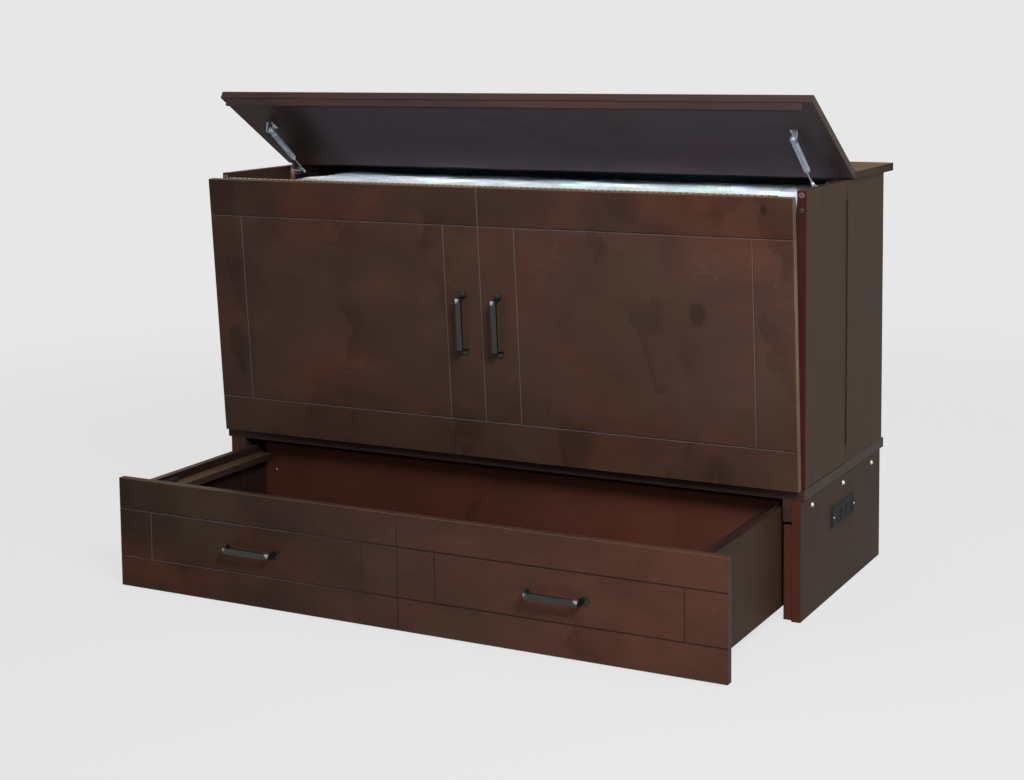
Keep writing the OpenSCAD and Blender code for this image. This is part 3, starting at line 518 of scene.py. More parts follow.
def scored(wood, stain):
    """Paints a highlight on groove flanks that look up or to the right, shade on the others, and a tan
    highlight on top edges.
    """
    across, back, rise = wood.normal()
    x, _, z = wood.spot()
    slope = wood.window(-back, *SLOPE_STARTS) * (1 - wood.window(-back, *SLOPE_ENDS))
    lit = wood.window(across + rise, *TURNED_TO_LIGHT) * slope
    unlit = wood.window(-(across + rise), *TURNED_TO_LIGHT) * slope
    # The top edges of the drawer and the panel, where the lit chamfer takes the painted tan highlight.
    rim = wood.window(abs(z - DRAWER_TOP), *TOP_EDGE_WIDTH) + wood.window(abs(z - PANEL_TOP), *TOP_EDGE_WIDTH)
    # On the drawer's right the lit flanks take painted shade, and the painted highlight fades to the
    # right.
    drawer_right = wood.window(x, -0.50, 0.10) * low_board(wood)
    flank = wood.blend(drawer_right, GROOVE_HIGHLIGHT, GROOVE_SHADE)
    lit = lit * (LIT - wood.window(x, 0.2, 0.6) * LIT_FADE)
    stain = wood.blend(lit, stain, wood.blend(rim, flank, TOP_EDGE_HIGHLIGHT))
    return wood.blend(unlit * UNLIT, stain, GROOVE_SHADE)


print("rubbed edges at", round(DRAWER_TOP, 3), "and", round(PANEL_TOP, 3), "m")

# %% [markdown]
# ## The wood recipe
#
# One recipe makes all the boards. It starts from a tone for each way that a face looks, lets in
# clouds of a warmer and of an olive stain, and draws the contour lines and knots. Then it darkens
# or lightens the whole by clouds, flakes and fibres. They also shape the gloss and a very shallow
# bump, because stain, lacquer and grain go together on a real board.

# %% Clouds of stain
WARM, OLIVE, LINE = (94, 54, 39), (64, 51, 38), (112, 70, 50)
REDDISH, GREENISH = 0.40, 0.45
BROAD = {True: (1, 1, 0.8), False: (0.8, 0.8, 1.15)}  # clouds stretch with the grain


def blotched(wood, tone, face, warm, olive, seed, turned, depth):
    """The tone with clouds of a warmer stain, mostly on the fronts, and of an olive one."""
    broad = BROAD[turned]
    reddish = wood.cloud(wood.place(broad, (seed, 1, 2)), 3.3, detail=3, distortion=0.4)
    greenish = wood.cloud(wood.place(broad, (3, seed, 9)), 4.1, detail=3, distortion=0.3)
    fronts = 1 - face.side * 0.8
    tone = wood.blend(wood.window(reddish, 0.47, 0.72) * fronts * REDDISH * depth, tone, warm)
    return wood.blend(wood.window(greenish, 0.50, 0.74) * GREENISH * depth, tone, olive)


print("stain: at most", REDDISH, "warmer and", GREENISH, "olive")

# %% The recipe
CLOUD_DEPTH, FLAKE_DEPTH, FIBRE_DEPTH = 0.8, 0.27, 0.30
FIBRE_FINE, FIBRE_LONG = 420, 9
GLOSS, GLOSS_CLOUDS, GLOSS_FIBRES = 0.46, 0.16, 0.06
GRAIN_DEPTH, GRAIN_STRENGTH = 0.0002, 0.45
KNOT_RAGGED, KNOT_DARK, KNOT_RING = 1.4, (1.15, 0.45), (0.16, 0.02)


def stained_wood(
    name, front, side, top, under, warm=WARM, olive=OLIVE, line=LINE,
    turned=False, seed=0.0, depth=1.0, lines=CONTOURS, line_spots=(0.54, 0.66), line_tint=0.30,
    shine=0.045, knots=(), extra=None, grooved=False, glaze=0.0, **constants,
):
    """Dark stained birch. front, side, top and under are its tones by the way a face looks."""
    front, side, top, under, warm, olive, line = (
        shade(*card) for card in (front, side, top, under, warm, olive, line))
    wood = Finish(name, Specular_IOR_Level=shine, **constants)
    face = facing(wood)
    tone = wood.blend(face.side, front, side)
    tone = wood.blend(face.up, tone, top)
    tone = wood.blend(face.down, tone, under)
    if extra:
        tone = extra(wood, tone)

    tone = blotched(wood, tone, face, warm, olive, seed, turned, depth)
    clouds = wood.cloud(wood.place(BROAD[turned], (4, 7, seed)), 5.6, 4, 0.58, 0.3)
    flake = flakes(wood, seed)
    fibres = wood.cloud(wood.place(with_grain(turned, FIBRE_FINE, FIBRE_LONG)), 1, 3, 0.6)
    level = 1 + (clouds - 0.5) * CLOUD_DEPTH * depth - flake * FLAKE_DEPTH * depth
    level = level + (fibres - 0.5) * FIBRE_DEPTH
    figure = contours(wood, turned, seed, lines, line_spots)
    tone = wood.blend(figure * line_tint, tone, line)
    for knot in knots:
        spread = oval(wood, knot) + (clouds - 0.5) * KNOT_RAGGED
        level = level - wood.window(spread, *KNOT_DARK) * knot.dark
        tone = wood.blend(wood.window(abs(spread - 1), *KNOT_RING) * knot.rim, tone, line)

    stain = wood.dim(tone, level)
    if grooved:
        stain = scored(wood, stain)
    if glaze:
        left_end = wood.window(-wood.spot()[0], 0.54, 0.66)
        wood.feed(Coat_Weight=face.down * (1 - left_end) * glaze)
    return wood.feed(
        Base_Color=stain,
        Roughness=GLOSS + (clouds - 0.5) * GLOSS_CLOUDS - fibres * GLOSS_FIBRES,
        Normal=wood.bump(fibres + figure * 0.4 - flake * 0.2, GRAIN_DEPTH, GRAIN_STRENGTH),
    )


print("fibres:", round(1000 / FIBRE_FINE, 1), "mm wide")

# %% [markdown]
# ## Where the stain and the painted light differ
#
# The fronts are a warm brown with a tan right end, and painted shade darkens them to the left. The
# case is more olive on its flat sides and reddish on its narrow front edges, its inner faces get
# painted shade, and the drawer's top edges painted light. The inside of the drawer is the reddest,
# with painted light that grows towards the right. A recipe takes each of these as an extra: a small
# function that gets the tone so far and hands back a changed one.

# %% Extras for the fronts and the case
STRIP_GROOVE, RAIL_GROOVE = 0.725, 0.897
MIDDLE = (-0.1, 0.1)


def split_ends(wood, tone):
    """Tan ends, a painted highlight on the panel's top edge, a redder right drawer, and painted shade at
    the left, on the left strip and on the top rail.
    """
    face = facing(wood)
    x, _, z = wood.spot()
    low = low_board(wood)
    high = 1 - low
    tone = wood.blend(face.side * low, tone, shade(54, 43, 37))
    # Painted highlight: the panel's top edge is made tan.
    tone = wood.blend(face.up * high, tone, shade(106, 86, 62))
    ruddy = wood.window(x, -0.3, 0.7) * low * (1 - face.side) * (1 - face.up)
    tone = wood.blend(ruddy * 0.8, tone, shade(82, 51, 40))
    # Painted shade: the fronts darken to the left, and the panel's left strip and top rail darken more.
    painted_shade_left = 1 - (1 - wood.window(x, -1.0, 0.7)) * (0.62 - high * 0.45)
    left_strip_shade = wood.window(-x, STRIP_GROOVE - 0.010, STRIP_GROOVE + 0.010) * high * 0.10
    above_rail = wood.window(z, RAIL_GROOVE - 0.004, RAIL_GROOVE + 0.004)
    top_rail_shade = above_rail * (0.22 + wood.window(x, 0.0, 0.8) * 0.10)
    return wood.dim(tone, painted_shade_left - left_strip_shade - top_rail_shade)


def two_faces(wood, tone):
    """Inner faces get painted shade, a darker red-brown; drawer top edges get painted light and shade.
    Low boards are browner than high ones.
    """
    face = facing(wood)
    x, y, _ = wood.spot()
    low = low_board(wood)
    tone = wood.blend(face.front * (1 - low), tone, shade(64, 32, 28))
    tone = wood.blend(face.side * low, tone, shade(53, 38, 28))
    # Painted light and shade on the drawer's top edges: tan at the front left, dark to the back and on
    # the right.
    painted_left_top = wood.blend(wood.window(y, -1.0, -0.62), shade(92, 72, 52), shade(50, 39, 30))
    painted_top_edge = wood.blend(wood.window(x, *MIDDLE), painted_left_top, shade(46, 32, 31))
    tone = wood.blend(face.up * low, tone, painted_top_edge)
    # Painted shade on faces that look into the chest.
    inward = wood.window(-(wood.normal()[0] * x), 0.1, 0.3)
    inner = wood.blend(low, shade(58, 41, 37), shade(36, 25, 23))
    return wood.blend(inward * face.side, tone, inner)


print("left strip ends at", -STRIP_GROOVE, "m, top rail starts at", RAIL_GROOVE, "m")

# %% Extras for the lid and the inside
INSIDE_END = 0.76


def painted_light_right(wood, tone):
    """Painted light inside the drawer, more towards the right. What lies outside it isn't lightened."""
    x = wood.spot()[0]
    inside = wood.window(x, INSIDE_END + 0.005, INSIDE_END - 0.005)
    return wood.dim(tone, 1 + (wood.window(x, -0.3, 0.8) * 0.55 + 0.04) * inside)


def painted_shade_end(tint, fade=0.0):
    """An extra of painted shade: boards on the right take a darker tint, and all may fade darker to the
    back.
    """
    def paint_shade_end(wood, tone):
        x, y, _ = wood.spot()
        tone = wood.blend(wood.window(x, *MIDDLE), tone, shade(*tint))
        return wood.dim(tone, 1 - wood.window(y, -0.98, -0.62) * fade)
    return paint_shade_end


def lid_ends(wood, tone):
    """The painted reflection on the lid's underside gives way to plain brown at both ends, the left one
    more than the right.
    """
    x = wood.spot()[0]
    left, right = wood.window(-x, 0.56, 0.66), wood.window(x, 0.68, 0.80)
    return wood.blend(facing(wood).down * (left + right * 0.5), tone, shade(50, 38, 34))


def plain_back(wood, tone):
    """The side of the back panel that looks out of the chest is plain brown, without the painted teal
    shade.
    """
    return wood.blend(wood.window(wood.normal()[1], 0.3, 0.6), tone, shade(58, 44, 38))


print("inside ends at", INSIDE_END, "m")

# %% [markdown]
# ## One recipe, several boards
#
# Now the boards are only lists of tones. The underside of the lid has a thin glaze, which mirrors
# the pale room, and a bluish grey tone, which is painted reflection; the tan tops of the lid and the
# fixed top are painted sheen. Two knots and a flat oval ring sit towards the right of the front
# panel. The ledges, the stiles and the lid's lip share a slot with other boards but look different,
# and the back panel, seen deep in the cavity, takes a nearly black teal, which is painted shade. They
# get finishes of their own.

# %% The woods
FRONT_KNOTS = (
    Knot(x=0.570, z=0.713, wide=0.044, high=0.062, dark=0.30, rim=0.0),
    Knot(x=0.590, z=0.803, wide=0.064, high=0.024, dark=0.05, rim=0.35),
    Knot(x=0.736, z=0.964, wide=0.020, high=0.028, dark=0.30, rim=0.1),
)

woods = {
    "front_wood": stained_wood(
        "stained_front", front=(72, 52, 45), side=(100, 82, 61), top=(72, 52, 44), under=(52, 40, 36),
        knots=FRONT_KNOTS, extra=split_ends, grooved=True),
    "case_wood": stained_wood(
        "stained_case", front=(78, 43, 35), side=(57, 44, 32), top=(64, 49, 42), under=(60, 46, 40),
        warm=(72, 51, 38), olive=(58, 50, 37), line=(82, 66, 48),
        turned=True, seed=3.1, depth=0.55, shine=0.025, line_tint=0.25, extra=two_faces),
    # The lid's tan top is painted sheen, and its bluish grey underside a painted reflection beside the
    # real glaze.
    "lid_wood": stained_wood(
        "stained_lid_painted_sheen", front=(66, 51, 50), side=(62, 53, 45), top=(110, 90, 72), under=(67, 58, 63),
        warm=(96, 52, 42), olive=(60, 46, 42), line=(126, 74, 56),
        seed=5.3, depth=0.5, line_tint=0.2, glaze=0.10, extra=lid_ends, Coat_Roughness=0.20),
    "trim_wood": stained_wood(
        "stained_trim", front=(60, 44, 40), side=(54, 46, 39), top=(70, 54, 46), under=(44, 34, 32),
        warm=(80, 48, 38), olive=(56, 46, 38), seed=8.7, depth=0.7),
    "inner_wood": stained_wood(
        "stained_inside", front=(75, 43, 34), side=(78, 42, 32), top=(72, 50, 43), under=(50, 36, 32),
        warm=(96, 50, 36), olive=(60, 42, 36), line=(116, 66, 46),
        seed=12.4, depth=0.55, lines=60, line_spots=(0.42, 0.60), line_tint=0.25, extra=painted_light_right),
    # The fixed top's tan, on its top and in its clouds, is painted sheen. Its own specular is off.
    "top_wood": stained_wood(
        "stained_top_painted_sheen", front=(60, 48, 40), side=(62, 54, 47), top=(116, 96, 78), under=(60, 48, 40),
        warm=(122, 96, 74), olive=(106, 92, 74), line=(130, 104, 80), seed=15.9, depth=0.5, shine=0.0),
}

print("woods:", ", ".join(woods))

# %% Boards with a finish of their own
own_finish = {
    "lid_lip": stained_wood(
        "stained_lip", front=(61, 48, 47), side=(40, 32, 32), top=(66, 50, 44), under=(50, 38, 37),
        warm=(104, 58, 46), olive=(66, 50, 44), line=(126, 74, 56), seed=5.3, depth=0.7),
    # The ledges' tan tops are painted light, and their right ends and backs painted shade.
    "drawer_ledges": stained_wood(
        "stained_ledge", front=(66, 46, 38), side=(56, 42, 36), top=(88, 70, 52), under=(44, 34, 30),
        warm=(78, 50, 40), olive=(66, 54, 40), seed=4.4, depth=0.6, extra=painted_shade_end((50, 34, 33), 0.40)),
    # The back panel's teal is painted shade, the colour of the deep cavity, on its inner face only.
    "back_panel": stained_wood(
        "shaded_back", front=(40, 66, 72), side=(30, 40, 42), top=(40, 40, 38), under=(30, 34, 36),
        warm=(44, 62, 66), olive=(36, 64, 70), line=(48, 70, 76), seed=2.0, depth=0.5, extra=plain_back),
    # The stiles' dark sides, top, underside and right ends are painted shade.
    "stiles": stained_wood(
        "shaded_stiles", front=(92, 62, 56), side=(26, 26, 28), top=(40, 32, 32), under=(20, 18, 20),
        warm=(96, 62, 54), olive=(30, 30, 30), line=(60, 42, 38),
        seed=2.0, depth=0.5, turned=True, extra=painted_shade_end((24, 20, 21))),
}

print("boards with their own finish:", ", ".join(own_finish))

# %% [markdown]
# ## Metals
#
# The brackets and most hinges are zinc plated, and the wings' hinges are bronzed. The struts have a
# satin grey tube and a bright polished rod, and the legs are dark gunmetal. Metal is never quite
# even: two noises vary its tone, and the finer one also its gloss and the tiny dents in it.

# %% Metal recipe
DENT_DEPTH = 0.00005
GUNMETAL = (36, 40, 39), (60, 64, 63)
HARD_COAT = {"Coat_Weight": 0.4, "Coat_Roughness": 0.15}


def metal(name, dark, light, smooth, rough, grain=(60, 60, 60), metallic=1.0, **constants):
    """Metal whose tone wanders between two colours, and its roughness between two values."""
    plate = Finish(name, Metallic=metallic, **constants)
    wander = plate.cloud(plate.place(), 35, 3, 0.6)
    brush = plate.cloud(plate.place(grain), 18, 4, 0.65)
    mottle = plate.window(wander * 0.6 + brush * 0.4, 0.3, 0.7)
    return plate.feed(
        Base_Color=plate.blend(mottle, shade(*dark), shade(*light)),
        Roughness=smooth + brush * (rough - smooth),
        Normal=plate.bump(brush, DENT_DEPTH, 0.6),
    )


metals = {
    "black_steel": metal("gunmetal", *GUNMETAL, 0.24, 0.38, metallic=0.9, **HARD_COAT),
    "strut_steel": metal(
        "strut_grey", (150, 158, 168), (188, 196, 206), 0.42, 0.56, (4, 4, 4), metallic=0.6),
    "rod_steel": metal("polished_rod", (176, 178, 182), (206, 208, 212), 0.08, 0.2, (3, 3, 3)),
    "bracket_steel": metal("bracket_zinc", (140, 142, 146), (192, 194, 198), 0.25, 0.42),
    "bolt_steel": metal("bolt_zinc", (176, 180, 184), (212, 216, 220), 0.22, 0.38),
}

print("metals:", ", ".join(metals))

# %% [markdown]
# ## Long hinges
#
# A long hinge is strip steel rolled round a pin, so it shows a row of bright knuckles with a dark
# slit between each two. The construction model has coarse knuckles that turn. The fine ones are
# drawn on them by the shader: a saw-tooth along the hinge says how near the next slit is.

# %% The hinge finish
FINE_KNUCKLE = 0.0165


def piano_hinge():
    """A long hinge of rolled strip, bright on its knuckles and dark in the slits between them."""
    rolled = Finish("hinge_zinc", Metallic=0.7)
    x = rolled.spot()[0]
    slit = rolled.window(abs((x / FINE_KNUCKLE).fraction() - 0.5), 0.36, 0.42)
    wander = rolled.cloud(rolled.place(), 60, 3, 0.6)
    zinc = rolled.blend(wander, shade(128, 118, 102), shade(180, 172, 160))
    return rolled.feed(
        Base_Color=rolled.blend(slit, zinc, shade(58, 46, 38)),
        Roughness=0.36 + wander * 0.2,
        Normal=rolled.bump(wander, DENT_DEPTH, 0.5),
    )


metals["hinge_steel"] = piano_hinge()
dark_hinge = metal("hinge_bronze", (40, 32, 34), (62, 50, 50), 0.4, 0.55)
for part in ("side_hinge_leaf_", "wing_hinge_leaf_"):
    for side in ("left", "right"):
        own_finish[part + side] = dark_hinge

print("fine knuckles:", FINE_KNUCKLE / MM, "mm")

# %% [markdown]
# ## Handles with a painted highlight at the bends
#
# The four bar handles are gunmetal with a soft brushed look. At the two bends of the bar the colour
# turns to pale steel: a painted highlight, where the bends catch the lamps. Painting those spots by
# hand would tie them to one handle. We find the bends in the mesh instead, as the two ends of its
# outermost face, and let the pale steel show within about a centimetre of them.

# %% Handles with painted bends
# The pale steel of the painted highlight at the bends, how far it reaches, and how strong it is at each
# bend.
BEND_HIGHLIGHT = shade(176, 180, 184)
BAR_FACE = 1 * MM
HIGHLIGHT_NEAR, HIGHLIGHT_FAR = 0.006, 0.0125
HIGHLIGHT_FIRST, HIGHLIGHT_LAST = 0.45, 0.9
UPRIGHT, SIDEWAYS, OUT_OF_FRONT = Vector((0, 0, 1)), Vector((1, 0, 0)), Vector((0, -1, 0))


def bar_bends(node, along):
    """The two ends of a handle's outer face, where its bar turns back to the board."""
    points = [vertex.co for vertex in nodes[node].data.vertices]
    reach = max(point.dot(OUT_OF_FRONT) for point in points)
    face = [point for point in points if point.dot(OUT_OF_FRONT) > reach - BAR_FACE]
    return [pick(face, key=lambda point: point.dot(along)) for pick in (min, max)]


def gunmetal_painted_bends(node, along):
    """Gunmetal with a painted highlight of pale steel at the bends of the bar."""
    bar = Finish("gunmetal_" + node, Metallic=0.9, **HARD_COAT)
    brush = bar.cloud(bar.place(), 240, 4, 0.65)
    # The painted highlight of pale steel at the two bends, stronger at the second.
    painted_bends = 0
    for bend, bend_share in zip(bar_bends(node, along), (HIGHLIGHT_FIRST, HIGHLIGHT_LAST)):
        away = bar.node("VectorMath", {"operation": "DISTANCE"}, {0: bar.place(), 1: bend}, "Value")
        painted_bends = bar.window(away + brush * 0.004, HIGHLIGHT_FAR, HIGHLIGHT_NEAR) * bend_share + painted_bends
    coat = bar.blend(brush, *(shade(*card) for card in GUNMETAL))
    return bar.feed(
        Base_Color=bar.blend(painted_bends, coat, BEND_HIGHLIGHT),
        Roughness=0.24 + brush * 0.14,
        Normal=bar.bump(brush, DENT_DEPTH, 0.6),
    )


for group, along in (("panel", UPRIGHT), ("drawer", SIDEWAYS)):
    for side in ("left", "right"):
        handle = group + "_handle_" + side
        own_finish[handle] = gunmetal_painted_bends(handle, along)

print("handles:", sum("_handle_" in name for name in own_finish))

# %% [markdown]
# ## Plastics and rubber
#
# The outlet, the nylon guides and the wheels are moulded. Moulded plastic has a fine even grain
# from its mould, and soft marks where it cooled. A low specular level keeps the dark ones matt.

# %% Plastic recipe
GRAIN_SCALE, MARKS_SCALE, MOULD_DEPTH = 240, 20, 0.00004
MATT = {"Specular_IOR_Level": 0.04}


def plastic(name, dark, light, smooth, rough, **constants):
    """Moulded plastic or rubber: fine grain in its colour and bump, soft marks in its gloss."""
    moulded = Finish(name, **constants)
    grain = moulded.cloud(moulded.place(), GRAIN_SCALE, 3, 0.6)
    marks = moulded.cloud(moulded.place(), MARKS_SCALE)
    mottle = moulded.window(grain * 0.5 + marks * 0.5, 0.3, 0.7)
    return moulded.feed(
        Base_Color=moulded.blend(mottle, shade(*dark), shade(*light)),
        Roughness=smooth + marks * (rough - smooth),
        Normal=moulded.bump(grain, MOULD_DEPTH, 0.5),
    )


plastics = {
    "outlet_plastic": plastic("outlet_grey", (32, 35, 33), (40, 43, 40), 0.5, 0.65, **MATT),
    "socket_plastic": plastic("socket_black", (20, 23, 24), (30, 33, 34), 0.4, 0.6, **MATT),
    "guide_nylon": plastic("guide_nylon", (150, 148, 142), (176, 174, 168), 0.45, 0.6),
    "wheel_rubber": plastic("wheel_rubber", (30, 30, 32), (46, 46, 48), 0.55, 0.75, **MATT),
}

print("plastics:", ", ".join(plastics))

# %% [markdown]
# ## The wing catches
#
# In the front edge of each wing sit a ring magnet and, under it, a round rubber stud. The model
# has them as one part with one slot. So the shader measures how far a point is from the centre of
# each, and tints it by that. The centres come from the part's box.

# %% The catch finish
RING_RADIUS, STUD_RADIUS = 0.006, 0.0045
CORE_SOFT, BETWEEN_SOFT = 0.0005, 0.003
RING_CORE, STUD_CORE = 0.0041, 0.0035
catch_low, catch_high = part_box("wing_catch_right")
CATCH_ACROSS = (catch_low.x + catch_high.x) / 2
RING_HEIGHT, STUD_HEIGHT = catch_high.z - RING_RADIUS, catch_low.z + STUD_RADIUS


def catch_finish():
    """A pale lilac ring round a dark core, and under it a dark stud with a painted highlight for a rim.
    """
    button = Finish("catch_lilac", Specular_IOR_Level=0.4)
    x, _, z = button.spot()
    sideways = abs(x) - CATCH_ACROSS
    grain = button.cloud(button.place(), 400)

    def disc(height, core, dark, light):
        upward = z - height
        radius = (sideways * sideways + upward * upward).root()
        return button.blend(button.window(radius, core - CORE_SOFT, core + CORE_SOFT), dark, light)

    ring = disc(RING_HEIGHT, RING_CORE, shade(86, 54, 66), shade(132, 98, 113))
    # The stud's light rim is a painted highlight.
    stud = disc(STUD_HEIGHT, STUD_CORE, shade(50, 41, 44), shade(108, 94, 96))
    between = (RING_HEIGHT + STUD_HEIGHT) / 2
    upper = button.window(z, between - BETWEEN_SOFT, between + BETWEEN_SOFT)
    return button.feed(
        Base_Color=button.blend(grain * 0.2, button.blend(upper, stud, ring), shade(90, 70, 78)),
        Roughness=0.32 + grain * 0.12,
        Normal=button.bump(grain, MOULD_DEPTH, 0.5),
    )


plastics["catch_plastic"] = catch_finish()

print("catches at", round(RING_HEIGHT, 3), "and", round(STUD_HEIGHT, 3), "m")

# %% [markdown]
# ## Mattress cloth
#
# The foam mattress wears a stretch-knit cover in off-white with a cool cast. Knit is a fine
# diamond of tiny loops: two crossed waves make it. Modelling each loop would take millions of
# faces for a cloth that is seen from four metres. Larger soft noise gives the cloth its unevenness.

# %% The knit
KNIT = 620
KNIT_DEPTH = 0.0006


def knit(name, dark, light):
    """Cloth of tiny loops, with a faint sheen."""
    cloth = Finish(name, Sheen_Weight=0.25, Sheen_Roughness=0.5, Specular_IOR_Level=0.2)
    x, y, z = cloth.spot()
    rows = ((x + y) * KNIT).sine()
    wales = ((z - y * 0.6) * KNIT).sine()
    loops = rows * wales * 0.5 + 0.5
    soft = cloth.cloud(cloth.place(), 14, 3, 0.55)
    tone = cloth.window(loops * 0.35 + soft * 0.65, 0.2, 0.8)
    return cloth.feed(
        Base_Color=cloth.blend(tone, shade(*dark), shade(*light)),
        Roughness=0.78 + soft * 0.12,
        Normal=cloth.bump(loops * 0.5 + soft, KNIT_DEPTH, 0.5),
    )


fabrics = {"mattress_fabric": knit("cover_knit", (214, 222, 232), (238, 243, 249))}

print("fabric:", ", ".join(fabrics))

# %% [markdown]
# ## Dressing the parts
#
# Every part of the construction model names the slot that its finish comes from, such as
# `case_wood`. Most parts take the finish with their slot's name. A few have a finish of their own.
# The parts themselves stay as they are: only what is in their material slots changes.

# %% Dressing the parts
finishes = {**woods, **metals, **plastics, **fabrics}
slot_of = {name: obj.material_slots[0].material.name.split(".")[0] for name, obj in nodes.items()}
for name, obj in nodes.items():
    for holder in obj.material_slots:
        holder.material = own_finish.get(name, finishes[slot_of[name]])

print("dressed:", len(slot_of), "parts,", len(own_finish), "of them with a finish of their own")

# %% [markdown]
# ## The mattress
#
# The mattress is three foam pads that stand on edge, folded like a letter. Each pad is a foam
# block in a sewn cover: its faces crown and its edges round over. A box with bevelled edges would
# look hard. So a block, a little smaller than the pad, is made into an even mesh, filled with
# pressure in a short cloth simulation, and swells. How far each point may move is capped, because
# the pads stand close to each other and to the boards.

# %% Helpers for pieces
BEVEL_STEPS = 3


def dress(obj, finish):
    """Gives a piece its finish and smooth shading."""
    obj.data.materials.clear()
    obj.data.materials.append(finish)
    for face in obj.data.polygons:
        face.use_smooth = True


def new_piece(name, mesh, finish):
    """An object for a mesh, in the scene, with its finish."""
    obj = bpy.data.objects.new(name, mesh)
    bpy.context.scene.collection.objects.link(obj)
    dress(obj, finish)
    return obj


def apply_modifiers(obj):
    """Makes the modified shape the object's own mesh."""
    graph = bpy.context.evaluated_depsgraph_get()
    shaped = bpy.data.meshes.new_from_object(obj.evaluated_get(graph))
    obj.modifiers.clear()
    obj.data = shaped


def block(low, high, round_by):
    """A box with rounded edges, between two corners, as a mesh."""
    shape = bmesh.new()
    bmesh.ops.create_cube(shape, size=1)
    fit = Matrix.Translation((low + high) / 2) @ Matrix.Diagonal((*(high - low), 1))
    bmesh.ops.transform(shape, matrix=fit, verts=shape.verts)
    bmesh.ops.bevel(
        shape, geom=shape.edges[:], offset=round_by, segments=BEVEL_STEPS, profile=0.5, affect="EDGES")
    mesh = bpy.data.meshes.new("block")
    shape.to_mesh(mesh)
    shape.free()
    return mesh


print("edges are rounded in", BEVEL_STEPS, "steps")

# %% Swelling a pad
PRESSURE = 4
CAP = 0.006
SWELL_FRAMES = 20


def swell(pad):
    """Fills the pad like a cushion, and caps how far each point moves."""
    start = [vertex.co.copy() for vertex in pad.data.vertices]
    press = pad.modifiers.new("press", "CLOTH")
    press.settings.use_pressure = True
    press.settings.uniform_pressure_force = PRESSURE
    press.settings.effector_weights.gravity = 0
    press.point_cache.frame_end = SWELL_FRAMES
    for frame_number in range(1, SWELL_FRAMES + 1):
        bpy.context.scene.frame_set(frame_number)
    apply_modifiers(pad)
    bpy.context.scene.frame_set(1)
    for vertex, home in zip(pad.data.vertices, start):
        step = vertex.co - home
        if step.length > CAP:
            vertex.co = home + step.normalized() * CAP


print("a point moves at most", CAP / MM, "mm")

# %% [markdown]
# ## Folds in the cover
#
# The cover lies in slack folds on top, where the foam is squeezed between the boards. The
# simulation leaves it too smooth for that, so noise draws the folds out of the finished mesh. They
# are deepest in the top band and hardly show on the faces. In the end every point is held inside
# the pad's own box. That box is the construction block's, with its top raised a little, because
# foam that is squeezed from its sides crowns above a flat block.

# %% Folds in the cover
SLACK_TOP, SLACK_SIDE = 0.006, 0.0012
TOP_BAND = 0.035
SLACK_WAVES, FOLD_WAVES = Vector((9, 26, 9)), Vector((24, 40, 20))
TO_FACES_ONLY = 6


def waves(point, scale, seed):
    """Soft noise from -1 to 1 at a point, stretched by scale."""
    return noise.noise(Vector((point.x * scale.x + seed, point.y * scale.y, point.z * scale.z)))


def shape_cover(pad, low, high, seed):
    """Soft creases over the cover, deepest on top, kept inside the pad's own box."""
    middle = (low + high) / 2
    half = (high - low) / 2
    for vertex in pad.data.vertices:
        point = vertex.co
        slack = waves(point, SLACK_WAVES, seed)
        fold = abs(waves(point, FOLD_WAVES, seed))
        near_top = max(0.0, 1 - (high.z - point.z) / TOP_BAND)
        drop = SLACK_TOP * near_top * (0.15 + 0.5 * slack - 1.1 * fold)
        from_middle = [(point[i] - middle[i]) / half[i] for i in range(3)]
        outward = Vector([way * min(1, abs(way)) ** TO_FACES_ONLY for way in from_middle])
        pull = SLACK_SIDE * (1.6 * slack - 1)
        vertex.co = point + outward * pull + Vector((0, 0, min(0.0, drop)))
        for i in range(3):
            vertex.co[i] = max(low[i], min(high[i], vertex.co[i]))


print("folds up to", SLACK_TOP / MM, "mm deep")

# %% The three pads
VOXEL = 0.012
START_SHRINK = Vector((0.002, 0.002, 0.002))
PAD_ROUNDING = 0.011
TOP_RISE = Vector((0, 0, 0.009))
SEED_STEP = 3.7


def sewn_pad(part, seed):
    """A mattress pad in the place of its construction block."""
    low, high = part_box("mattress_" + part)
    high = high + TOP_RISE
    foam = block(low + START_SHRINK, high - START_SHRINK, PAD_ROUNDING)
    pad = new_piece("pad_" + part, foam, finishes["mattress_fabric"])
    even = pad.modifiers.new("even", "REMESH")
    even.mode = "VOXEL"
    even.voxel_size = VOXEL
    apply_modifiers(pad)
    swell(pad)
    finer = pad.modifiers.new("finer", "SUBSURF")
    finer.levels = 1
    apply_modifiers(pad)
    shape_cover(pad, low, high, seed)
    dress(pad, finishes["mattress_fabric"])
    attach(pad, "cabinet")
    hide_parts("mattress_" + part)
    return pad


pads = [sewn_pad(part, SEED_STEP * n) for n, part in enumerate(("front", "middle", "rear"))]

print("pads:", [len(pad.data.vertices) for pad in pads], "points")

# %% [markdown]
# ## Screws
#
# A few small screws finish the chest: pan heads in the drawer's back, in its side and in the
# cabinet's side. A plain cylinder would look like a peg. A real head is a turned profile with a
# sunk middle and a rounded shoulder, so we spin a list of radii and heights round an axis.

# %% Screw heads
SPOKES = 20
HEAD_PROFILE = ((0.28, 0.35), (0.36, 0.95), (0.62, 0.9), (0.88, 0.6), (1.0, 0.2), (1.0, -0.4))
SMALL_HEAD, LARGE_HEAD = (0.0030, 0.0012), (0.0042, 0.0018)


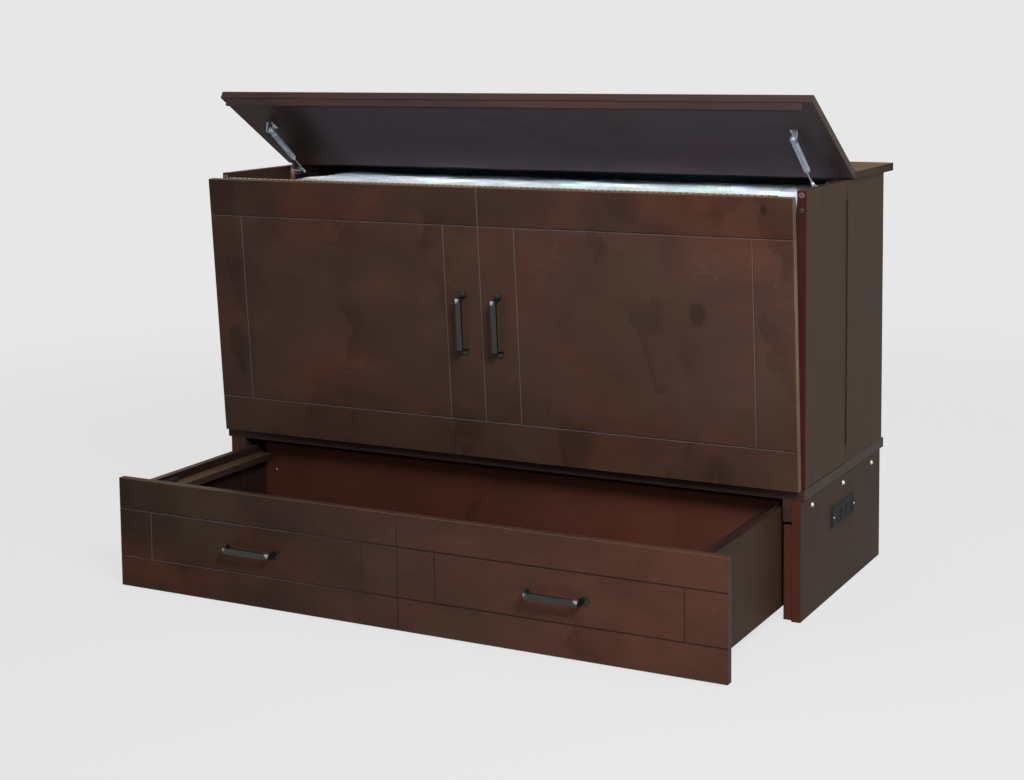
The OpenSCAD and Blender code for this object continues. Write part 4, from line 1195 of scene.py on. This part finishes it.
def screw_head(name, body, spot, outward, size, finish):
    """A pan head that looks outward from a board, at a spot on its face."""
    radius, height = size
    turns = [2 * math.pi * k / SPOKES for k in range(SPOKES)]
    shape = bmesh.new()
    rings = []
    for out, up in HEAD_PROFILE:
        reach = out * radius
        ring = [(reach * math.cos(turn), reach * math.sin(turn), up * height) for turn in turns]
        rings.append([shape.verts.new(point) for point in ring])
    shape.faces.new(rings[0])
    for inner, outer in zip(rings, rings[1:]):
        for k in range(SPOKES):
            shape.faces.new((outer[k - 1], outer[k], inner[k], inner[k - 1]))
    shape.faces.new(list(reversed(rings[-1])))
    bmesh.ops.recalc_face_normals(shape, faces=shape.faces)
    tilt = outward.to_track_quat("Z", "Y").to_matrix().to_4x4()
    bmesh.ops.transform(shape, matrix=Matrix.Translation(Vector(spot)) @ tilt, verts=shape.verts)
    mesh = bpy.data.meshes.new(name)
    shape.to_mesh(mesh)
    shape.free()
    head = new_piece(name, mesh, finish)
    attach(head, body)
    return head


print("a head has", SPOKES * len(HEAD_PROFILE), "points")

# %% Four screws
BACK_SCREW_DOWN, BACK_SCREW_IN = 0.071, 0.035
SIDE_SCREW_DOWN, SIDE_SCREW_FORWARD = 0.031, 0.195
LEDGE_SCREW_UP, LEDGE_SCREW_BACK = 0.008, 0.138

back_low, back_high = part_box("drawer_back")
ledge_low, ledge_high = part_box("drawer_ledges")
side_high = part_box("rear_side_left")[1]
zinc_screw = finishes["bolt_steel"]
brown_screw = plastic("screw_brown", (84, 62, 44), (120, 92, 66), 0.3, 0.45)

back_left = (back_low.x + BACK_SCREW_IN, back_low.y, back_high.z - BACK_SCREW_DOWN)
back_right = (back_high.x - BACK_SCREW_IN, back_low.y, back_high.z - BACK_SCREW_DOWN)
side_spot = (side_high.x, side_high.y - SIDE_SCREW_FORWARD, side_high.z - SIDE_SCREW_DOWN)
ledge_spot = (ledge_high.x, ledge_low.y + LEDGE_SCREW_BACK, ledge_high.z + LEDGE_SCREW_UP)
screws = [
    screw_head("drawer_back_screw_left", "drawer", back_left, OUT_OF_FRONT, SMALL_HEAD, zinc_screw),
    screw_head("drawer_back_screw_right", "drawer", back_right, OUT_OF_FRONT, SMALL_HEAD, zinc_screw),
    screw_head("side_screw", "cabinet", side_spot, SIDEWAYS, LARGE_HEAD, brown_screw),
    screw_head("drawer_side_screw", "drawer", ledge_spot, -SIDEWAYS, SMALL_HEAD, zinc_screw),
]

print("screws:", ", ".join(screw.name for screw in screws))

# %% [markdown]
# ## The buffer
#
# A black rubber buffer lies on the left ledge of the drawer, just behind the drawer's front. It is
# a small block with rounded edges, in the rubber of the wheels.

# %% The buffer
BUFFER = Vector((0.011, 0.090, 0.012))
BUFFER_IN, BUFFER_BACK = 0.001, 0.022
BUFFER_ROUNDING = 0.0016

corner = Vector((ledge_low.x + BUFFER_IN, ledge_low.y + BUFFER_BACK, ledge_high.z))
rubber = block(corner, corner + BUFFER, BUFFER_ROUNDING)
buffer = new_piece("ledge_buffer", rubber, finishes["wheel_rubber"])
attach(buffer, "drawer")

print("buffer", BUFFER.y / MM, "mm long")

# %% [markdown]
# The dressing may not make the bed bigger.
